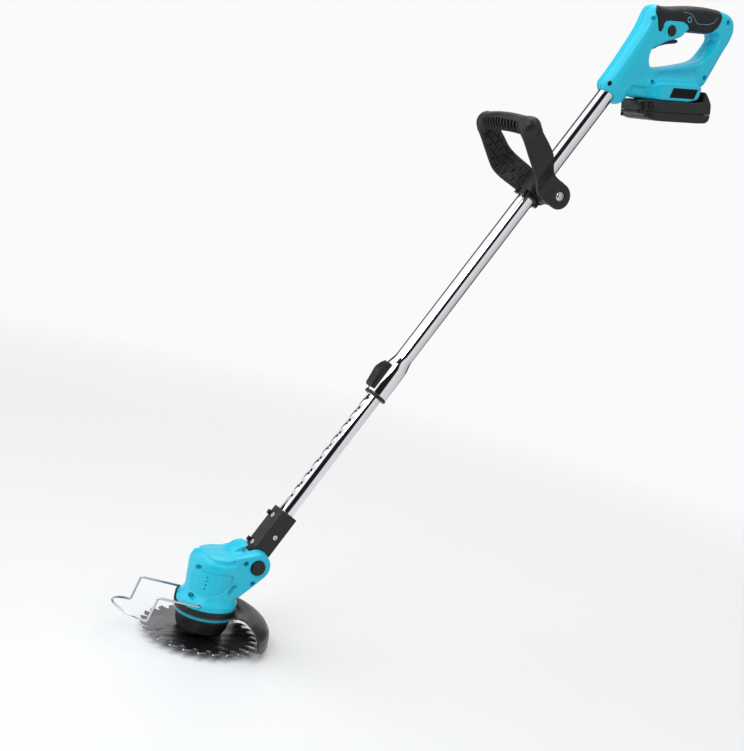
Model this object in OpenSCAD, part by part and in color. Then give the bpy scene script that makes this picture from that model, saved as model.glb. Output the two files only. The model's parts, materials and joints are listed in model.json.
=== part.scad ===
// Cordless lawn edger: a long-handled grass trimmer that turns a round saw blade.
// Millimetres. The origin is the centre of the spindle's lower end face, +Z runs up
// the spindle, +X points back towards the user, and -Y is the left side.

/* [Blade and spindle] */
// Blade diameter over the tooth tips
blade_d = 150; // [140:1:156]
// Number of teeth round the blade
tooth_count = 26; // [20:2:36]
// Blade thickness
blade_t = 1.6; // [1.2:0.1:2]
// Length of spindle left free below the nut
spindle_free = 3; // [2:0.5:4]

/* [Cutting head] */
// Outer radius of the motor barrel
barrel_r = 30.7; // [29.5:0.1:32]
// Radius of the foot flange
foot_r = 38; // [37:0.5:39]
// Wall thickness of the moulded shells
shell_wall = 2.5; // [2:0.1:3]
// Half width of the cheeks round the tilt pivot
cheek_half = 27; // [26:0.5:28]
// Outer radius of the blade guard
guard_r = 88; // [84:1:92]
// Angle that the blade guard covers
guard_angle = 90; // [50:1:100]
// Wire diameter of the folding guard
wire_d = 3; // [2.5:0.1:3]

/* [Tilt pivot] */
// Distance of the tilt pivot behind the spindle
pivot_x = 46; // [44:0.5:48]
// Height of the tilt pivot
pivot_z = 105; // [103:0.5:107]
// Lean of the tubes from the spindle axis
tube_lean = 27; // [20:0.5:35]

/* [Tubes and length lock] */
// Outer radius of the lower tube
lower_r = 10; // [9.8:0.1:10]
// Outer radius of the upper tube
upper_r = 11.5; // [11.5:0.1:12]
// Tube wall thickness
tube_wall = 1; // [0.8:0.1:1.2]
// Spacing of the locking notches
notch_pitch = 20; // [15:1:25]
// Distance from the tilt pivot to the locking pin
lock_at = 277; // [270:1:285]
// Distance from the tilt pivot to the rear handle's nose
nose_at = 758; // [740:1:780]

/* [Loop handle] */
// Distance from the tilt pivot to the loop handle's bolt
loop_at = 617; // [580:1:630]
// Height of the loop's grip bar above the tube axis
loop_rise = 96; // [88:1:104]
// Half width of the loop between its corner centres
loop_half = 50; // [46:1:56]
// Radius of the loop's grip bar
loop_bar_r = 12; // [10:0.5:13]
// Turn of the loop about the tube
loop_turn = 0; // [-10:1:10]

/* [Rear handle] */
// Angle between the tubes and the rear handle's base
handle_bend = 38.5; // [36:0.5:41]
// Half width of the handle frame
frame_half = 17; // [16.5:0.5:18]
// Half width of the battery base
base_half = 30; // [29:0.5:31]

/* [Battery] */
// Half width of the battery pack
pack_half = 31; // [30.5:0.5:32]
// Height of the battery pack below its top face
pack_h = 26; // [25:1:30]

/* [Hidden] */
$fn = 64;

cyan = [0.22, 0.73, 0.88];
black = [0.10, 0.10, 0.11];
charcoal = [0.17, 0.17, 0.18];
grey = [0.28, 0.28, 0.29];
chrome = [0.78, 0.79, 0.82];
steel = [0.55, 0.56, 0.58];

// Heights along the spindle, from its lower end upwards
nut_z = spindle_free;
nut_h = 4;
washer_z = nut_z + nut_h;
washer_t = 1.2;
blade_z = washer_z + washer_t;
flange_z = blade_z + blade_t;
bearing_z = 25;
bearing_t = 7;
skirt_z = 12;
web_z = 32;
ring_z = 35;
guard_z = 38;
guard_from = -56;
skirt_low = 8;
band_z = 40.5;
foot_z = 46;
plate_z = 50;
motor_z = 53;
motor_top = 100;
barrel_top = 115.5;

// Radii round the spindle
spindle_r = 4;
shaft_r = 2.5;
motor_r = 21;
bearing_r = 11;
blade_r = blade_d / 2;
hub_screw_r = 25;
cavity_r = barrel_r - shell_wall - 0.7;
lip_r = 40.2;
lip_z = 55.5;
lip_from = 132;
lip_angle = 34;

// Tilt pivot
pin_r = 6;
knuckle_r = 13;
bracket_half = 13;
slot_half = bracket_half + 0.3;
cheek_r = 20;
cheek_step = 6;
button_r = 9;
wire_r = wire_d / 2;
wire_at = [-22, 52];
wire_half = 33.3;

// Tubes: distances along the tube axis from the tilt pivot
lower_from = 16;
lower_to = 400;
bracket_to = 75;
swage_r = 14.7;
swage_from = 264;
swage_to = 307;
swage_end = 323;
upper_to = nose_at + 42;
notch_h = 4;
notch_floor = 8.7;
lower_in = lower_r - tube_wall;
upper_in = upper_r - tube_wall;

function arc(cx, cy, r, from, to, n) =
    [for (i = [0:n]) let (a = from + (to - from) * i / n) [cx + r * cos(a), cy + r * sin(a)]];

// Places children in the tube frame: origin on the tilt pivot, +Z up the tubes,
// -X on the upper (front) side of the tubes
module in_tube() {
    translate([pivot_x, 0, pivot_z]) rotate([0, tube_lean, 0]) children();
}

// Places children in the handle frame: +X back along the battery base, +Z up
module in_handle() {
    in_tube() translate([0, 0, nose_at]) rotate([0, -handle_bend, 0]) children();
}

// Extrudes an X-Z outline sideways, from y0 to y1
module slab(y0, y1) {
    translate([0, y1, 0]) rotate([90, 0, 0]) linear_extrude(height = y1 - y0) children();
}

// A round bar along Y
module rod_y(x, z, r, y0, y1) {
    translate([x, y1, z]) rotate([90, 0, 0]) cylinder(r = r, h = y1 - y0);
}

module keep_side(side) {
    intersection() {
        children();
        translate([-400, side < 0 ? -200 : 0, -200]) cube([1600, 200, 1600]);
    }
}

// A cross-head screw along +Z: shank first, head at the top
module screw(r, length, head_r, head_h) {
    cylinder(r = r, h = length);
    translate([0, 0, length]) difference() {
        cylinder(r = head_r, h = head_h);
        for (turn = [0, 90]) rotate([0, 0, turn])
            translate([-head_r * 0.6, -0.5, head_h * 0.4]) cube([head_r * 1.2, 1, head_h]);
    }
}

// ---------------------------------------------------------------- cutting head

head_screw_at = [[-27.5, 97, 15], [-28, 59.5, 14], [29.4, 109, 24], [44.4, 84, 24]];

module cheek_outline() {
    polygon(concat([[-4, 62], [24, 57], [36, 66.4]],
        arc(pivot_x, pivot_z, cheek_r, -46, 104, 24),
        [[34, 122], [22, 119], [8, 115], [-4, 113.5]]));
}

module hook_outline() {
    polygon([[0, 111], [9, 116], [22, 127.5], [33, 131], [34.5, 128.5], [28, 122], [26, 112]]);
}

// Room between the cheeks for the bracket at every tilt
module bracket_sweep() {
    gap_r = knuckle_r + 0.6;
    reach = 70;
    front = 10;
    slab(-slot_half, slot_half) union() {
        translate([pivot_x, pivot_z]) circle(r = gap_r);
        translate([pivot_x, pivot_z]) polygon([
            [-gap_r * cos(front), gap_r * sin(front)],
            [-gap_r * cos(front) + reach * sin(front), gap_r * sin(front) + reach * cos(front)],
            [reach, reach], [reach, -gap_r], [0, -gap_r]]);
    }
}

module head_solid() {
    rotate_extrude() polygon([[0, foot_z], [foot_r, foot_z], [foot_r, 53.5], [35.5, 56],
        [32.3, 59.5], [barrel_r, 66], [barrel_r + 2.4, 98], [barrel_r + 1, 104],
        [28, 111], [20, barrel_top], [0, barrel_top + 0.5]]);
    slab(-cheek_half + cheek_step, cheek_half - cheek_step) cheek_outline();
    slab(-cheek_half, cheek_half) offset(delta = -3) cheek_outline();
    slab(-13, 13) hook_outline();
}

module head_hollow() {
    difference() {
        union() {
            rotate_extrude() polygon([[0, plate_z], [cavity_r, plate_z], [cavity_r, 103],
                [24, 109], [0, 111.5]]);
            slab(-cheek_half + shell_wall, cheek_half - shell_wall)
                polygon([[20, 64], [34.5, 69], [51, 84], [42, 89], [32, 96], [20, 96]]);
        }
        for (at = head_screw_at) rod_y(at[0], at[1], 4, -cheek_half, cheek_half);
    }
    cylinder(r = 20, h = plate_z + 1);
    bracket_sweep();
    for (side = [-1, 1]) difference() {
        rod_y(pivot_x, pivot_z, cheek_r - shell_wall, min(side * 12, side * 24.5),
            max(side * 12, side * 24.5));
        rod_y(pivot_x, pivot_z, button_r + 2, -30, 30);
        rod_y(head_screw_at[2][0], head_screw_at[2][1], 4, -30, 30);
    }
}

module head_holes() {
    rod_y(pivot_x, pivot_z, pin_r, -22, 24.5);
    rod_y(pivot_x, pivot_z, button_r + 0.05, -30, -22);
    for (at = head_screw_at) {
        rod_y(at[0], at[1], 1.6, -at[2] + 4, 10);
        rod_y(at[0], at[1], 3.2, -40, -at[2] + 4);
    }
    rod_y(wire_at[0], wire_at[1], wire_r + 0.05, -40, -26.5);
    rod_y(wire_at[0], wire_at[1], wire_r + 0.05, 26.5, 40);
    for (a = [45:90:315]) rotate([0, 0, a]) translate([hub_screw_r, 0, 40])
        cylinder(r = 1.75, h = 12);
    // Round exit for the motor leads
    translate([20, 0, 107]) rotate([0, 90, 0]) cylinder(r = 2.6, h = 16);
}

module head_shell(side) {
    color(cyan) keep_side(side) difference() {
        head_solid();
        head_hollow();
        head_holes();
    }
}

module head_shell_left() { head_shell(-1); }

module head_shell_right() { head_shell(1); }

module head_screws() {
    color(steel) for (at = head_screw_at)
        translate([at[0], 10, at[1]]) rotate([90, 0, 0]) screw(1.6, at[2] + 6, 2.9, 2);
}

module motor_can() {
    color(chrome) translate([0, 0, motor_z]) difference() {
        cylinder(r = motor_r, h = motor_top - motor_z);
        translate([0, 0, 1.5]) cylinder(r = motor_r - 1.5, h = motor_top - motor_z);
        translate([0, 0, -1]) cylinder(r = 6.5, h = 5);
    }
}

module motor_magnets() {
    color(charcoal) for (turn = [30, 210]) rotate([0, 0, turn])
        translate([0, 0, 58]) rotate_extrude(angle = 120)
            translate([16.2, 0]) square([motor_r - 1.5 - 16.2, 33]);
}

module brush_boxes(grow) {
    for (turn = [0, 180]) rotate([0, 0, turn])
        translate([7.05, -2 - grow, 93 - grow]) cube([8.95, 4 + 2 * grow, 4 + 2 * grow]);
}

module motor_end_cap() {
    color(black) difference() {
        union() {
            translate([0, 0, motor_top]) cylinder(r = motor_r, h = 5);
            translate([0, 0, motor_top]) cylinder(r = 7, h = 8);
            for (turn = [0, 180]) rotate([0, 0, turn])
                translate([12, -4, 91.5]) cube([6, 8, 9]);
        }
        translate([0, 0, 98]) cylinder(r = 5, h = 8);
        brush_boxes(0);
    }
}

module motor_brushes() { color(charcoal) brush_boxes(0); }

module motor_rotor() {
    color(steel) {
        translate([0, 0, 36]) cylinder(r = shaft_r, h = 69);
        translate([0, 0, 60]) difference() {
            cylinder(r = 15.6, h = 29);
            for (a = [0:60:300]) rotate([0, 0, a])
                translate([9, -1.2, -1]) cube([8, 2.4, 31]);
        }
        translate([0, 0, 91.5]) cylinder(r = 7, h = 7);
    }
}

module motor_bushes() {
    color("goldenrod") {
        translate([0, 0, motor_z]) difference() {
            cylinder(r = 6.5, h = 4);
            translate([0, 0, -1]) cylinder(r = shaft_r + 0.03, h = 6);
        }
        translate([0, 0, 101]) difference() {
            cylinder(r = 5, h = 5);
            translate([0, 0, -1]) cylinder(r = shaft_r + 0.03, h = 7);
        }
    }
}

module motor_plate() {
    color(steel) translate([0, 0, plate_z]) difference() {
        cylinder(r = cavity_r - 0.1, h = motor_z - plate_z);
        translate([0, 0, -1]) cylinder(r = 8, h = 5);
        for (a = [45:90:315]) rotate([0, 0, a]) translate([hub_screw_r, 0, -1])
            cylinder(r = 1.75, h = 5);
        for (at = [head_screw_at[1]]) rod_y(at[0], 0, 4, -30, 30);
    }
}

module motor_leads() {
    color("firebrick") for (y = [-1.3, 1.3]) translate([11, y, 105]) {
        cylinder(r = 1, h = 2);
        translate([0, 0, 2]) sphere(r = 1.04);
        translate([0, 0, 2]) rotate([0, 90, 0]) cylinder(r = 1, h = 15);
    }
}

module spindle() {
    color(steel) difference() {
        union() {
            cylinder(r = spindle_r - 0.4, h = spindle_free);
            translate([0, 0, spindle_free]) cylinder(r = spindle_r, h = web_z + 1 - spindle_free);
            translate([0, 0, bearing_z + bearing_t]) cylinder(r = 6, h = 15);
        }
        translate([0, 0, 36]) cylinder(r = shaft_r, h = 20);
    }
}

// A ring round the spindle between two radii
module ring(inner, outer, from, height) {
    translate([0, 0, from]) difference() {
        cylinder(r = outer, h = height);
        translate([0, 0, -1]) cylinder(r = inner, h = height + 2);
    }
}

module bearing_outer_race() { color(chrome) ring(9.5, bearing_r, bearing_z, bearing_t); }

module bearing_inner_race() { color(chrome) ring(spindle_r, 5.5, bearing_z, bearing_t); }

module bearing_balls() {
    color(steel) for (a = [0:45:315]) rotate([0, 0, a])
        translate([7.5, 0, bearing_z + bearing_t / 2]) sphere(r = 1.95);
}

module drive_flange() {
    color(steel) rotate_extrude() polygon([[spindle_r, flange_z], [15, flange_z],
        [15, flange_z + 2.4], [13.5, flange_z + 4], [5.4, flange_z + 4], [5.4, bearing_z],
        [spindle_r, bearing_z]]);
}

// One carbide tip, standing at the front of the tooth at angle 0
module tip_block() {
    translate([blade_r - 8, -1.6, blade_z - 0.3]) cube([8, 1.6, blade_t + 0.6]);
}

// Slanted slots that run in from four of the gullets and end in small round holes
module expansion_slots() {
    slot_w = 1;
    slot_l = 14;
    slant = 24;
    for (k = [0:3]) rotate([0, 0, (round(k * tooth_count / 4) + 0.7) * 360 / tooth_count])
        translate([blade_r - 11, 0, blade_z - 1]) rotate([0, 0, 180 + slant]) {
            translate([-3, -slot_w / 2, 0]) cube([slot_l + 3, slot_w, blade_t + 2]);
            translate([slot_l, 0, 0]) cylinder(r = slot_w + 0.2, h = blade_t + 2);
        }
}

module blade() {
    pitch = 360 / tooth_count;
    root_r = blade_r - 10.5;
    color(steel) difference() {
        translate([0, 0, blade_z]) linear_extrude(height = blade_t) polygon([
            for (i = [0:tooth_count - 1]) each [
                polar(blade_r - 0.6, i * pitch), polar(blade_r - 3, (i + 0.42) * pitch),
                polar(blade_r - 7, (i + 0.52) * pitch), polar(root_r, (i + 0.62) * pitch),
                polar(root_r - 0.6, (i + 0.78) * pitch), polar(root_r + 1.6, (i + 0.9) * pitch),
                polar(blade_r - 6.5, (i + 0.97) * pitch)]]);
        translate([0, 0, blade_z - 1]) cylinder(r = spindle_r, h = 4);
        expansion_slots();
        for (i = [0:tooth_count - 1]) rotate([0, 0, i * pitch]) tip_block();
    }
}

function polar(r, a) = [r * cos(a), r * sin(a)];

module tooth_tips() {
    color("silver") intersection() {
        for (i = [0:tooth_count - 1]) rotate([0, 0, i * 360 / tooth_count]) tip_block();
        cylinder(r = blade_r, h = 40);
    }
}

module blade_washer() { color(steel) ring(spindle_r, 12, washer_z, washer_t); }

module blade_nut() {
    color(steel) translate([0, 0, nut_z]) difference() {
        cylinder(r = 7.5, h = nut_h, $fn = 6);
        translate([0, 0, -1]) cylinder(r = spindle_r, h = nut_h + 2);
    }
}

module hub_screw_holes(r) {
    for (a = [45:90:315]) rotate([0, 0, a]) translate([hub_screw_r, 0, 0])
        cylinder(r = r, h = 60);
}

module hub_skirt() {
    color(black) difference() {
        rotate_extrude() polygon([[18, skirt_z], [28, skirt_z], [30.5, 14.5], [32.6, 20],
            [34.2, 28], [35.2, ring_z], [bearing_r, ring_z], [bearing_r, bearing_z],
            [9.5, bearing_z], [9.5, 23.5], [14, 23.5], [14, web_z], [31.8, web_z],
            [30, 24], [28.2, 16.5], [27, 14.5], [18, 14.5]]);
        translate([0, 0, 28]) hub_screw_holes(1.75);
    }
}

module collar_ring() {
    color(cyan) difference() {
        ring(18, 36.3, ring_z, guard_z - ring_z);
        hub_screw_holes(1.75);
    }
}

module collar_band() {
    color(black) difference() {
        union() {
            ring(14, 39.4, band_z, foot_z - band_z);
            // Upstanding lip at the front of the head's foot, on the right side
            rotate([0, 0, lip_from]) rotate_extrude(angle = lip_angle)
                polygon([[foot_r + 0.2, band_z + 1], [lip_r - 0.2, band_z + 1],
                    [lip_r, lip_z - 1.5], [lip_r - 0.8, lip_z], [foot_r + 0.2, lip_z]]);
        }
        hub_screw_holes(1.75);
    }
}

module blade_guard() {
    color(grey) difference() {
        union() {
            ring(18, 38.5, guard_z, band_z - guard_z);
            rotate([0, 0, guard_from]) rotate_extrude(angle = guard_angle, $fn = 128) polygon([
                [37, guard_z + 0.5], [40, guard_z], [41, guard_z], [48, 41.3], [60, 42.2],
                [guard_r - 19, 38.5], [guard_r - 9.7, 32.2], [guard_r - 4.1, 24.8],
                [guard_r - 2.4, 17.5], [guard_r - 2.4, skirt_low], [guard_r, skirt_low],
                [guard_r, 18.5], [guard_r - 1.8, 26], [guard_r - 8, 34], [guard_r - 18, 40.7],
                [60, 44.6], [48, 43.7], [41, band_z - 0.2], [37, band_z - 0.6]]);
        }
        hub_screw_holes(1.75);
    }
}

module hub_screws() {
    color(steel) for (a = [45:90:315]) rotate([0, 0, a]) translate([hub_screw_r, 0, motor_z])
        mirror([0, 0, 1]) screw(1.75, motor_z - web_z, 3.2, 2.2);
}

// A straight run of guard wire between two points
module wire_run(from, to) {
    step = to - from;
    flat = norm([step[0], step[1]]);
    translate(from) rotate([0, atan2(flat, step[2]), atan2(step[1], step[0])])
        cylinder(r = wire_r, h = norm(step));
    // A slightly fuller bend at the end of each run
    translate(to) sphere(r = wire_r + 0.04);
}

module wire_guard() {
    color(chrome) {
        for (side = [-1, 1]) {
            root = [wire_at[0], side * 27, wire_at[1]];
            bend = [wire_at[0], side * wire_half, wire_at[1]];
            knee = [-78, side * wire_half, 61.3];
            foot = [-85.4, side * wire_half, 31];
            wire_run(root, bend);
            wire_run(bend, knee);
            wire_run(knee, foot);
        }
        translate([-85.4, 0, 31]) rotate([0, 13, 0]) rotate([0, 0, 90]) rotate_extrude(angle = 180)
            translate([wire_half, 0]) circle(r = wire_r);
    }
}

// ---------------------------------------------------------------- tilt pivot

module pivot_pin() {
    color(steel) difference() {
        rod_y(pivot_x, pivot_z, pin_r, -22, 24.5);
        rod_y(pivot_x, pivot_z, 4.03, -30, 30);
    }
}

module pivot_button() {
    color(black) {
        rod_y(pivot_x, pivot_z, button_r, -30.5, -25.5);
        rod_y(pivot_x, pivot_z, 4, -25.5, 9);
    }
}

module pivot_spring() {
    color(steel) for (i = [0:4]) translate([pivot_x, 10.5 + i * 3, pivot_z])
        rotate([90, 0, 0]) rotate_extrude($fn = 32) translate([3, 0]) circle(r = 0.5, $fn = 16);
}

bracket_screw_x = [21, 63];
bracket_screw_side = 42;

module bracket_screw_set() {
    for (lz = bracket_screw_x) translate([-lower_in + 0.5, 0, lz]) rotate([0, -90, 0])
        screw(1.6, 4, 3, 1.4);
    translate([1, -lower_in + 0.5, bracket_screw_side]) rotate([90, 0, 0])
        screw(1.6, 4.5, 3, 1.4);
}

module bracket_screw_space() {
    for (lz = bracket_screw_x) translate([-lower_in + 0.5, 0, lz]) rotate([0, -90, 0]) {
        cylinder(r = 1.6, h = 5);
        translate([0, 0, 4]) cylinder(r = 3, h = 10);
    }
    translate([1, -lower_in + 0.5, bracket_screw_side]) rotate([90, 0, 0]) {
        cylinder(r = 1.6, h = 5);
        translate([0, 0, 4.5]) cylinder(r = 3, h = 10);
    }
}

module tube_bracket() {
    color(charcoal) in_tube() difference() {
        union() {
            translate([-12.5, -bracket_half, 0]) cube([25, 2 * bracket_half, bracket_to]);
            rod_y(0, 0, knuckle_r, -bracket_half, bracket_half);
            for (lz = bracket_screw_x) translate([-16.5, 8.5, lz - 3]) cube([5, 4.5, 6]);
        }
        translate([0, 0, lower_from]) cylinder(r = lower_r, h = 100);
        rod_y(0, 0, pin_r + 0.05, -20, 20);
        bracket_screw_space();
    }
}

module bracket_screws() { color(chrome) in_tube() bracket_screw_set(); }

// ---------------------------------------------------------------- tubes

module lower_tube() {
    color(chrome) in_tube() difference() {
        translate([0, 0, lower_from]) cylinder(r = lower_r, h = lower_to - lower_from);
        cylinder(r = lower_in, h = lower_to + 1);
        for (k = [-9:3])
            translate([-12, -6, lock_at + k * notch_pitch - notch_h / 2])
                cube([12 - notch_floor, 12, notch_h]);
        bracket_screw_space();
    }
}

module tube_end_bush() {
    color(black) in_tube() difference() {
        union() {
            translate([0, 0, lower_to]) cylinder(r = upper_in - 0.04, h = 4);
            translate([0, 0, lower_to - 12]) cylinder(r = lower_in, h = 13);
        }
        translate([0, 0, lower_to - 20]) cylinder(r = lower_in - 1.5, h = 40);
    }
}

module lower_cable() {
    color(black) in_tube() translate([-3.6, 0, lower_from + 1]) cylinder(r = 1.9, h = 370);
}

module upper_cable() {
    color(black) in_tube() translate([3.6, 0, 190])
        cylinder(r = 1.9, h = upper_to - 190 + 4);
}

module upper_tube() {
    color(chrome) in_tube() difference() {
        rotate_extrude() polygon([[swage_r, swage_from], [swage_r, swage_to],
            [upper_r, swage_end], [upper_r, upper_to], [upper_in, upper_to],
            [upper_in, swage_end - 1], [swage_r - 1.2, swage_to - 1],
            [swage_r - 1.2, swage_from]]);
        translate([-20, 0, lock_at]) rotate([0, 90, 0]) cylinder(r = 3, h = 10);
        nose_screw_space();
    }
}

module guide_bush() {
    color(black) in_tube() difference() {
        translate([0, 0, swage_from]) cylinder(r = swage_r - 1.2, h = 41);
        translate([0, 0, swage_from - 1]) cylinder(r = lower_r + 0.04, h = 50);
        translate([-20, 0, lock_at]) rotate([0, 90, 0]) cylinder(r = 3, h = 12);
    }
}

module lock_ring() {
    color(black) in_tube() rotate_extrude() polygon([[lower_r + 0.1, 260],
        [14.8, 260], [15.4, 260.8], [15.4, 263.4], [15, swage_from], [lower_r + 0.1, swage_from]]);
}

module lock_housing() {
    color(black) in_tube() difference() {
        translate([-18, -8, 267]) cube([8, 16, 39]);
        cylinder(r = swage_r, h = 400);
        translate([-20, -4.2, 271]) cube([8, 8.4, 31]);
    }
}

module lock_slider() {
    color(black) in_tube() difference() {
        union() {
            slab(-8, 8) polygon([[-18.1, 268], [-19.6, 268], [-23.2, 290], [-22.8, 294],
                [-19.4, 303], [-18.1, 303]]);
            translate([-18.2, -4, 283]) cube([3.2, 8, 8]);
        }
        translate([-19.3, -3.2, 270]) cube([3, 6.4, 13]);
    }
}

module lock_pin() {
    color(chrome) in_tube() translate([-17.6, 0, lock_at]) rotate([0, 90, 0])
        cylinder(r = 1.8, h = 17.6 - lower_r - 0.06);
}

// ---------------------------------------------------------------- loop handle

bolt_x = 25;
bolt_r = 3;
liner_r = 13.8;
saddle_half = 17;
leg_in = 17.5;
leg_t = 7;
ear_r = 17.5;
bar_sag = 6;
corner_x = -loop_rise + bar_sag;
bar_lz = loop_at + 21;

// Places children in the loop handle's frame: the tube frame, turned a little on the tube
module in_loop() {
    in_tube() rotate([0, 0, loop_turn]) children();
}

module loop_liner() {
    color(charcoal) in_loop() translate([0, 0, loop_at - 27]) difference() {
        union() {
            cylinder(r = liner_r, h = 36);
            cylinder(r = liner_r + 1.2, h = 2);
            for (a = [25, 155, 205, 335]) rotate([0, 0, a]) translate([13, -4, -3])
                cube([5, 8, 7]);
        }
        translate([0, 0, -5]) cylinder(r = upper_r + 0.03, h = 80);
    }
}

module clamp_saddle() {
    color(charcoal) in_loop() difference() {
        union() {
            translate([0, 0, loop_at - 22]) cylinder(r = saddle_half, h = 30);
            translate([0, -saddle_half, loop_at - 15]) cube([bolt_x, 2 * saddle_half, 23]);
            rod_y(bolt_x, loop_at, 14, -saddle_half, saddle_half);
        }
        translate([0, 0, loop_at - 60]) cylinder(r = liner_r + 0.04, h = 120);
        rod_y(bolt_x, loop_at, bolt_r + 0.05, -30, 30);
        translate([10, -1.5, loop_at - 60]) cube([60, 3, 120]);
    }
}

// Half width of the loop's inner face at a distance x from the tube axis
function leg_half(x) =
    let (u = min(1, max(0, (4 - x) / 50)))
    leg_in + (loop_half - leg_t / 2 - leg_in) * u * u * (3 - 2 * u);

// Both legs seen along the tube, bowed out between the ears and the grip bar
module legs_plan() {
    xs = [for (i = [0:16]) bolt_x + 17 + i * (corner_x - bolt_x - 17) / 16];
    for (side = [-1, 1]) polygon(concat(
        [for (x = xs) [x, side * leg_half(x)]],
        [for (i = [16:-1:0]) [xs[i], side * (leg_half(xs[i]) + leg_t)]]));
}

// Outline of one leg seen from the side, with its ear round the bolt
module leg_side() {
    translate([bolt_x, loop_at]) circle(r = ear_r);
    polygon([[bolt_x + 4, loop_at - ear_r + 0.6], [bolt_x - 4, loop_at + ear_r - 0.6],
        [2, loop_at + 14.5], [-33, loop_at + 19], [-60, loop_at + 27], [corner_x - 8, loop_at + 34],
        [corner_x - 8, loop_at + 8], [-60, loop_at - 9], [-33, loop_at - 20],
        [0, loop_at - 22]]);
}

module loop_handle() {
    bar_radius = (loop_half * loop_half + bar_sag * bar_sag) / (2 * bar_sag);
    sweep = 2 * asin(loop_half / bar_radius);
    color(charcoal) in_loop() difference() {
        union() {
            intersection() {
                translate([0, 0, loop_at - 60]) linear_extrude(height = 120) legs_plan();
                slab(-90, 90) leg_side();
            }
            translate([-loop_rise + bar_radius, 0, bar_lz]) rotate([0, 0, 180 - sweep / 2])
                rotate_extrude(angle = sweep, $fn = 200) translate([bar_radius, 0])
                    circle(r = loop_bar_r);
            for (side = [-1, 1]) translate([corner_x, side * loop_half, bar_lz])
                sphere(r = loop_bar_r + 0.6);
        }
        rod_y(bolt_x, loop_at, bolt_r, -40, 40);
        rod_y(bolt_x, loop_at, 7, -40, -leg_in - 3);
        translate([bolt_x, leg_in + 3, loop_at]) rotate([-90, 0, 0])
            cylinder(r = 6, h = 10, $fn = 6);
    }
}

module loop_bolt() {
    color(chrome) in_loop() {
        rod_y(bolt_x, loop_at, bolt_r, -leg_in - 3, leg_in + 8);
        rod_y(bolt_x, loop_at, 6, -leg_in - 5.5, -leg_in - 3);
    }
}

module loop_nut() {
    color(chrome) in_loop() translate([bolt_x, leg_in + 3, loop_at]) rotate([-90, 0, 0])
        difference() {
            cylinder(r = 5.9, h = 4.5, $fn = 6);
            translate([0, 0, -1]) cylinder(r = bolt_r, h = 7);
        }
}

// ---------------------------------------------------------------- rear handle

core_half = 14.5;
button_at = [90, 96];
trigger_at = [77, 79];
trigger_pin_r = 1.8;
lock_off_r = 6.8;
handle_screw_at = [[59.5, 109], [188.5, 114], [67, 28], [159, 39]];
nose_screw_at = [0, 22.5];

module frame_outline() {
    polygon([[-4, 12.5], [-5.5, 24.5], [3, 35], [18, 55], [30.5, 73], [41.5, 89], [49.5, 102],
        [55, 116], [60, 124.5], [66, 129], [73, 126.5], [90, 127], [120, 130.5], [151, 131.5],
        [184, 129], [196, 125], [203, 118], [205.5, 109], [205, 100], [200.5, 88.5], [188, 69],
        [171.5, 39.5], [165, 28.5], [158, 24], [149, 21], [149, 10], [66, 10], [48, 14],
        [36, 10], [30, -1], [20, -5], [9, 2]]);
}

module opening_outline() {
    polygon([[64, 70], [61, 60], [62.5, 51], [68, 46.6], [102, 50.5], [144, 59], [157, 65.5],
        [168.5, 78.5], [177, 91], [174.5, 96], [169, 97.5], [120, 97], [117, 94], [114, 90],
        [108, 86.5], [90, 82], [76, 75]]);
}

module grip_outline() {
    polygon([[70, 137], [70, 127], [66, 121], [63.5, 115], [65.5, 108], [68.5, 94.5], [74, 94.5],
        [76.5, 106], [81, 109.5], [109, 110], [117.5, 106], [121, 100], [121, 90], [153, 95],
        [163, 101], [172, 108.5], [176, 118], [174.5, 127], [173, 137], [120, 138]]);
}

module core_outline() {
    polygon([[50, 118], [60, 92], [128, 92], [128, 100], [152, 100], [168, 106],
        [178, 117], [172, 125], [151, 127], [120, 126.3], [89, 123], [58, 121]]);
}

// The wide base that carries the battery, seen from above
module base_plan() {
    polygon([[44, -14], [60, -17], [68, -21], [73, -base_half + 3], [78, -base_half],
        [144, -base_half], [149, -base_half + 4], [149, base_half - 4], [144, base_half],
        [78, base_half], [73, base_half - 3], [68, 21], [60, 17], [44, 14]]);
}

module base_side() {
    polygon([[44, 14], [50, 11], [60, 8], [72, 5.5], [139, 5.5], [149, 24], [142, 28.5],
        [100, 29.5], [62, 29], [44, 24]]);
}

module frame_side() {
    difference() {
        frame_outline();
        opening_outline();
    }
}

// The frame with its outer edges stepped back
module frame_body() {
    slab(-frame_half + 4.5, frame_half - 4.5) frame_side();
    slab(-frame_half, frame_half) offset(delta = -3.5) frame_side();
}

module handle_solid() {
    difference() {
        union() {
            frame_body();
            intersection() {
                linear_extrude(height = 40) base_plan();
                slab(-40, 40) base_side();
            }
        }
        slab(-40, 40) grip_outline();
    }
    slab(-core_half, core_half) intersection() {
        core_outline();
        frame_side();
    }
}

// Hollow for the switch, the trigger and the wiring
module handle_hollow() {
    half = core_half - shell_wall;
    slab(-half, half) polygon([[66, 84], [74, 82], [92, 85], [103, 88.5], [109, 92], [112, 98],
        [121, 102], [160, 104], [166, 110], [168, 118], [160, 124], [120, 124], [86, 120],
        [66, 112]]);
    slab(-half, half) polygon([[66, 82], [66, 100], [57, 96], [44, 76], [40, 60], [44, 52],
        [50, 46], [55, 50], [54, 62], [58, 76]]);
    slab(-half, half) polygon([[44, 56], [40, 48], [47, 26], [60, 20], [142, 20], [146, 24],
        [140, 26], [100, 42], [64, 40], [52, 46]]);
    // Channel that the battery's rail block slides along, open to the rear and below
    translate([69.5, -20.4, 0]) cube([87.5, 40.8, 14.4]);
    translate([73.5, -23.4, 8.2]) cube([83.5, 46.8, 3.4]);
    // Slot for the trigger
    slab(-6.6, 6.6) polygon([[71.5, 60], [116, 76], [116, 92], [71.5, 90]]);
    rod_y(trigger_at[0], trigger_at[1], trigger_pin_r + 0.05, -9.05, 9.05);
}

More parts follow.
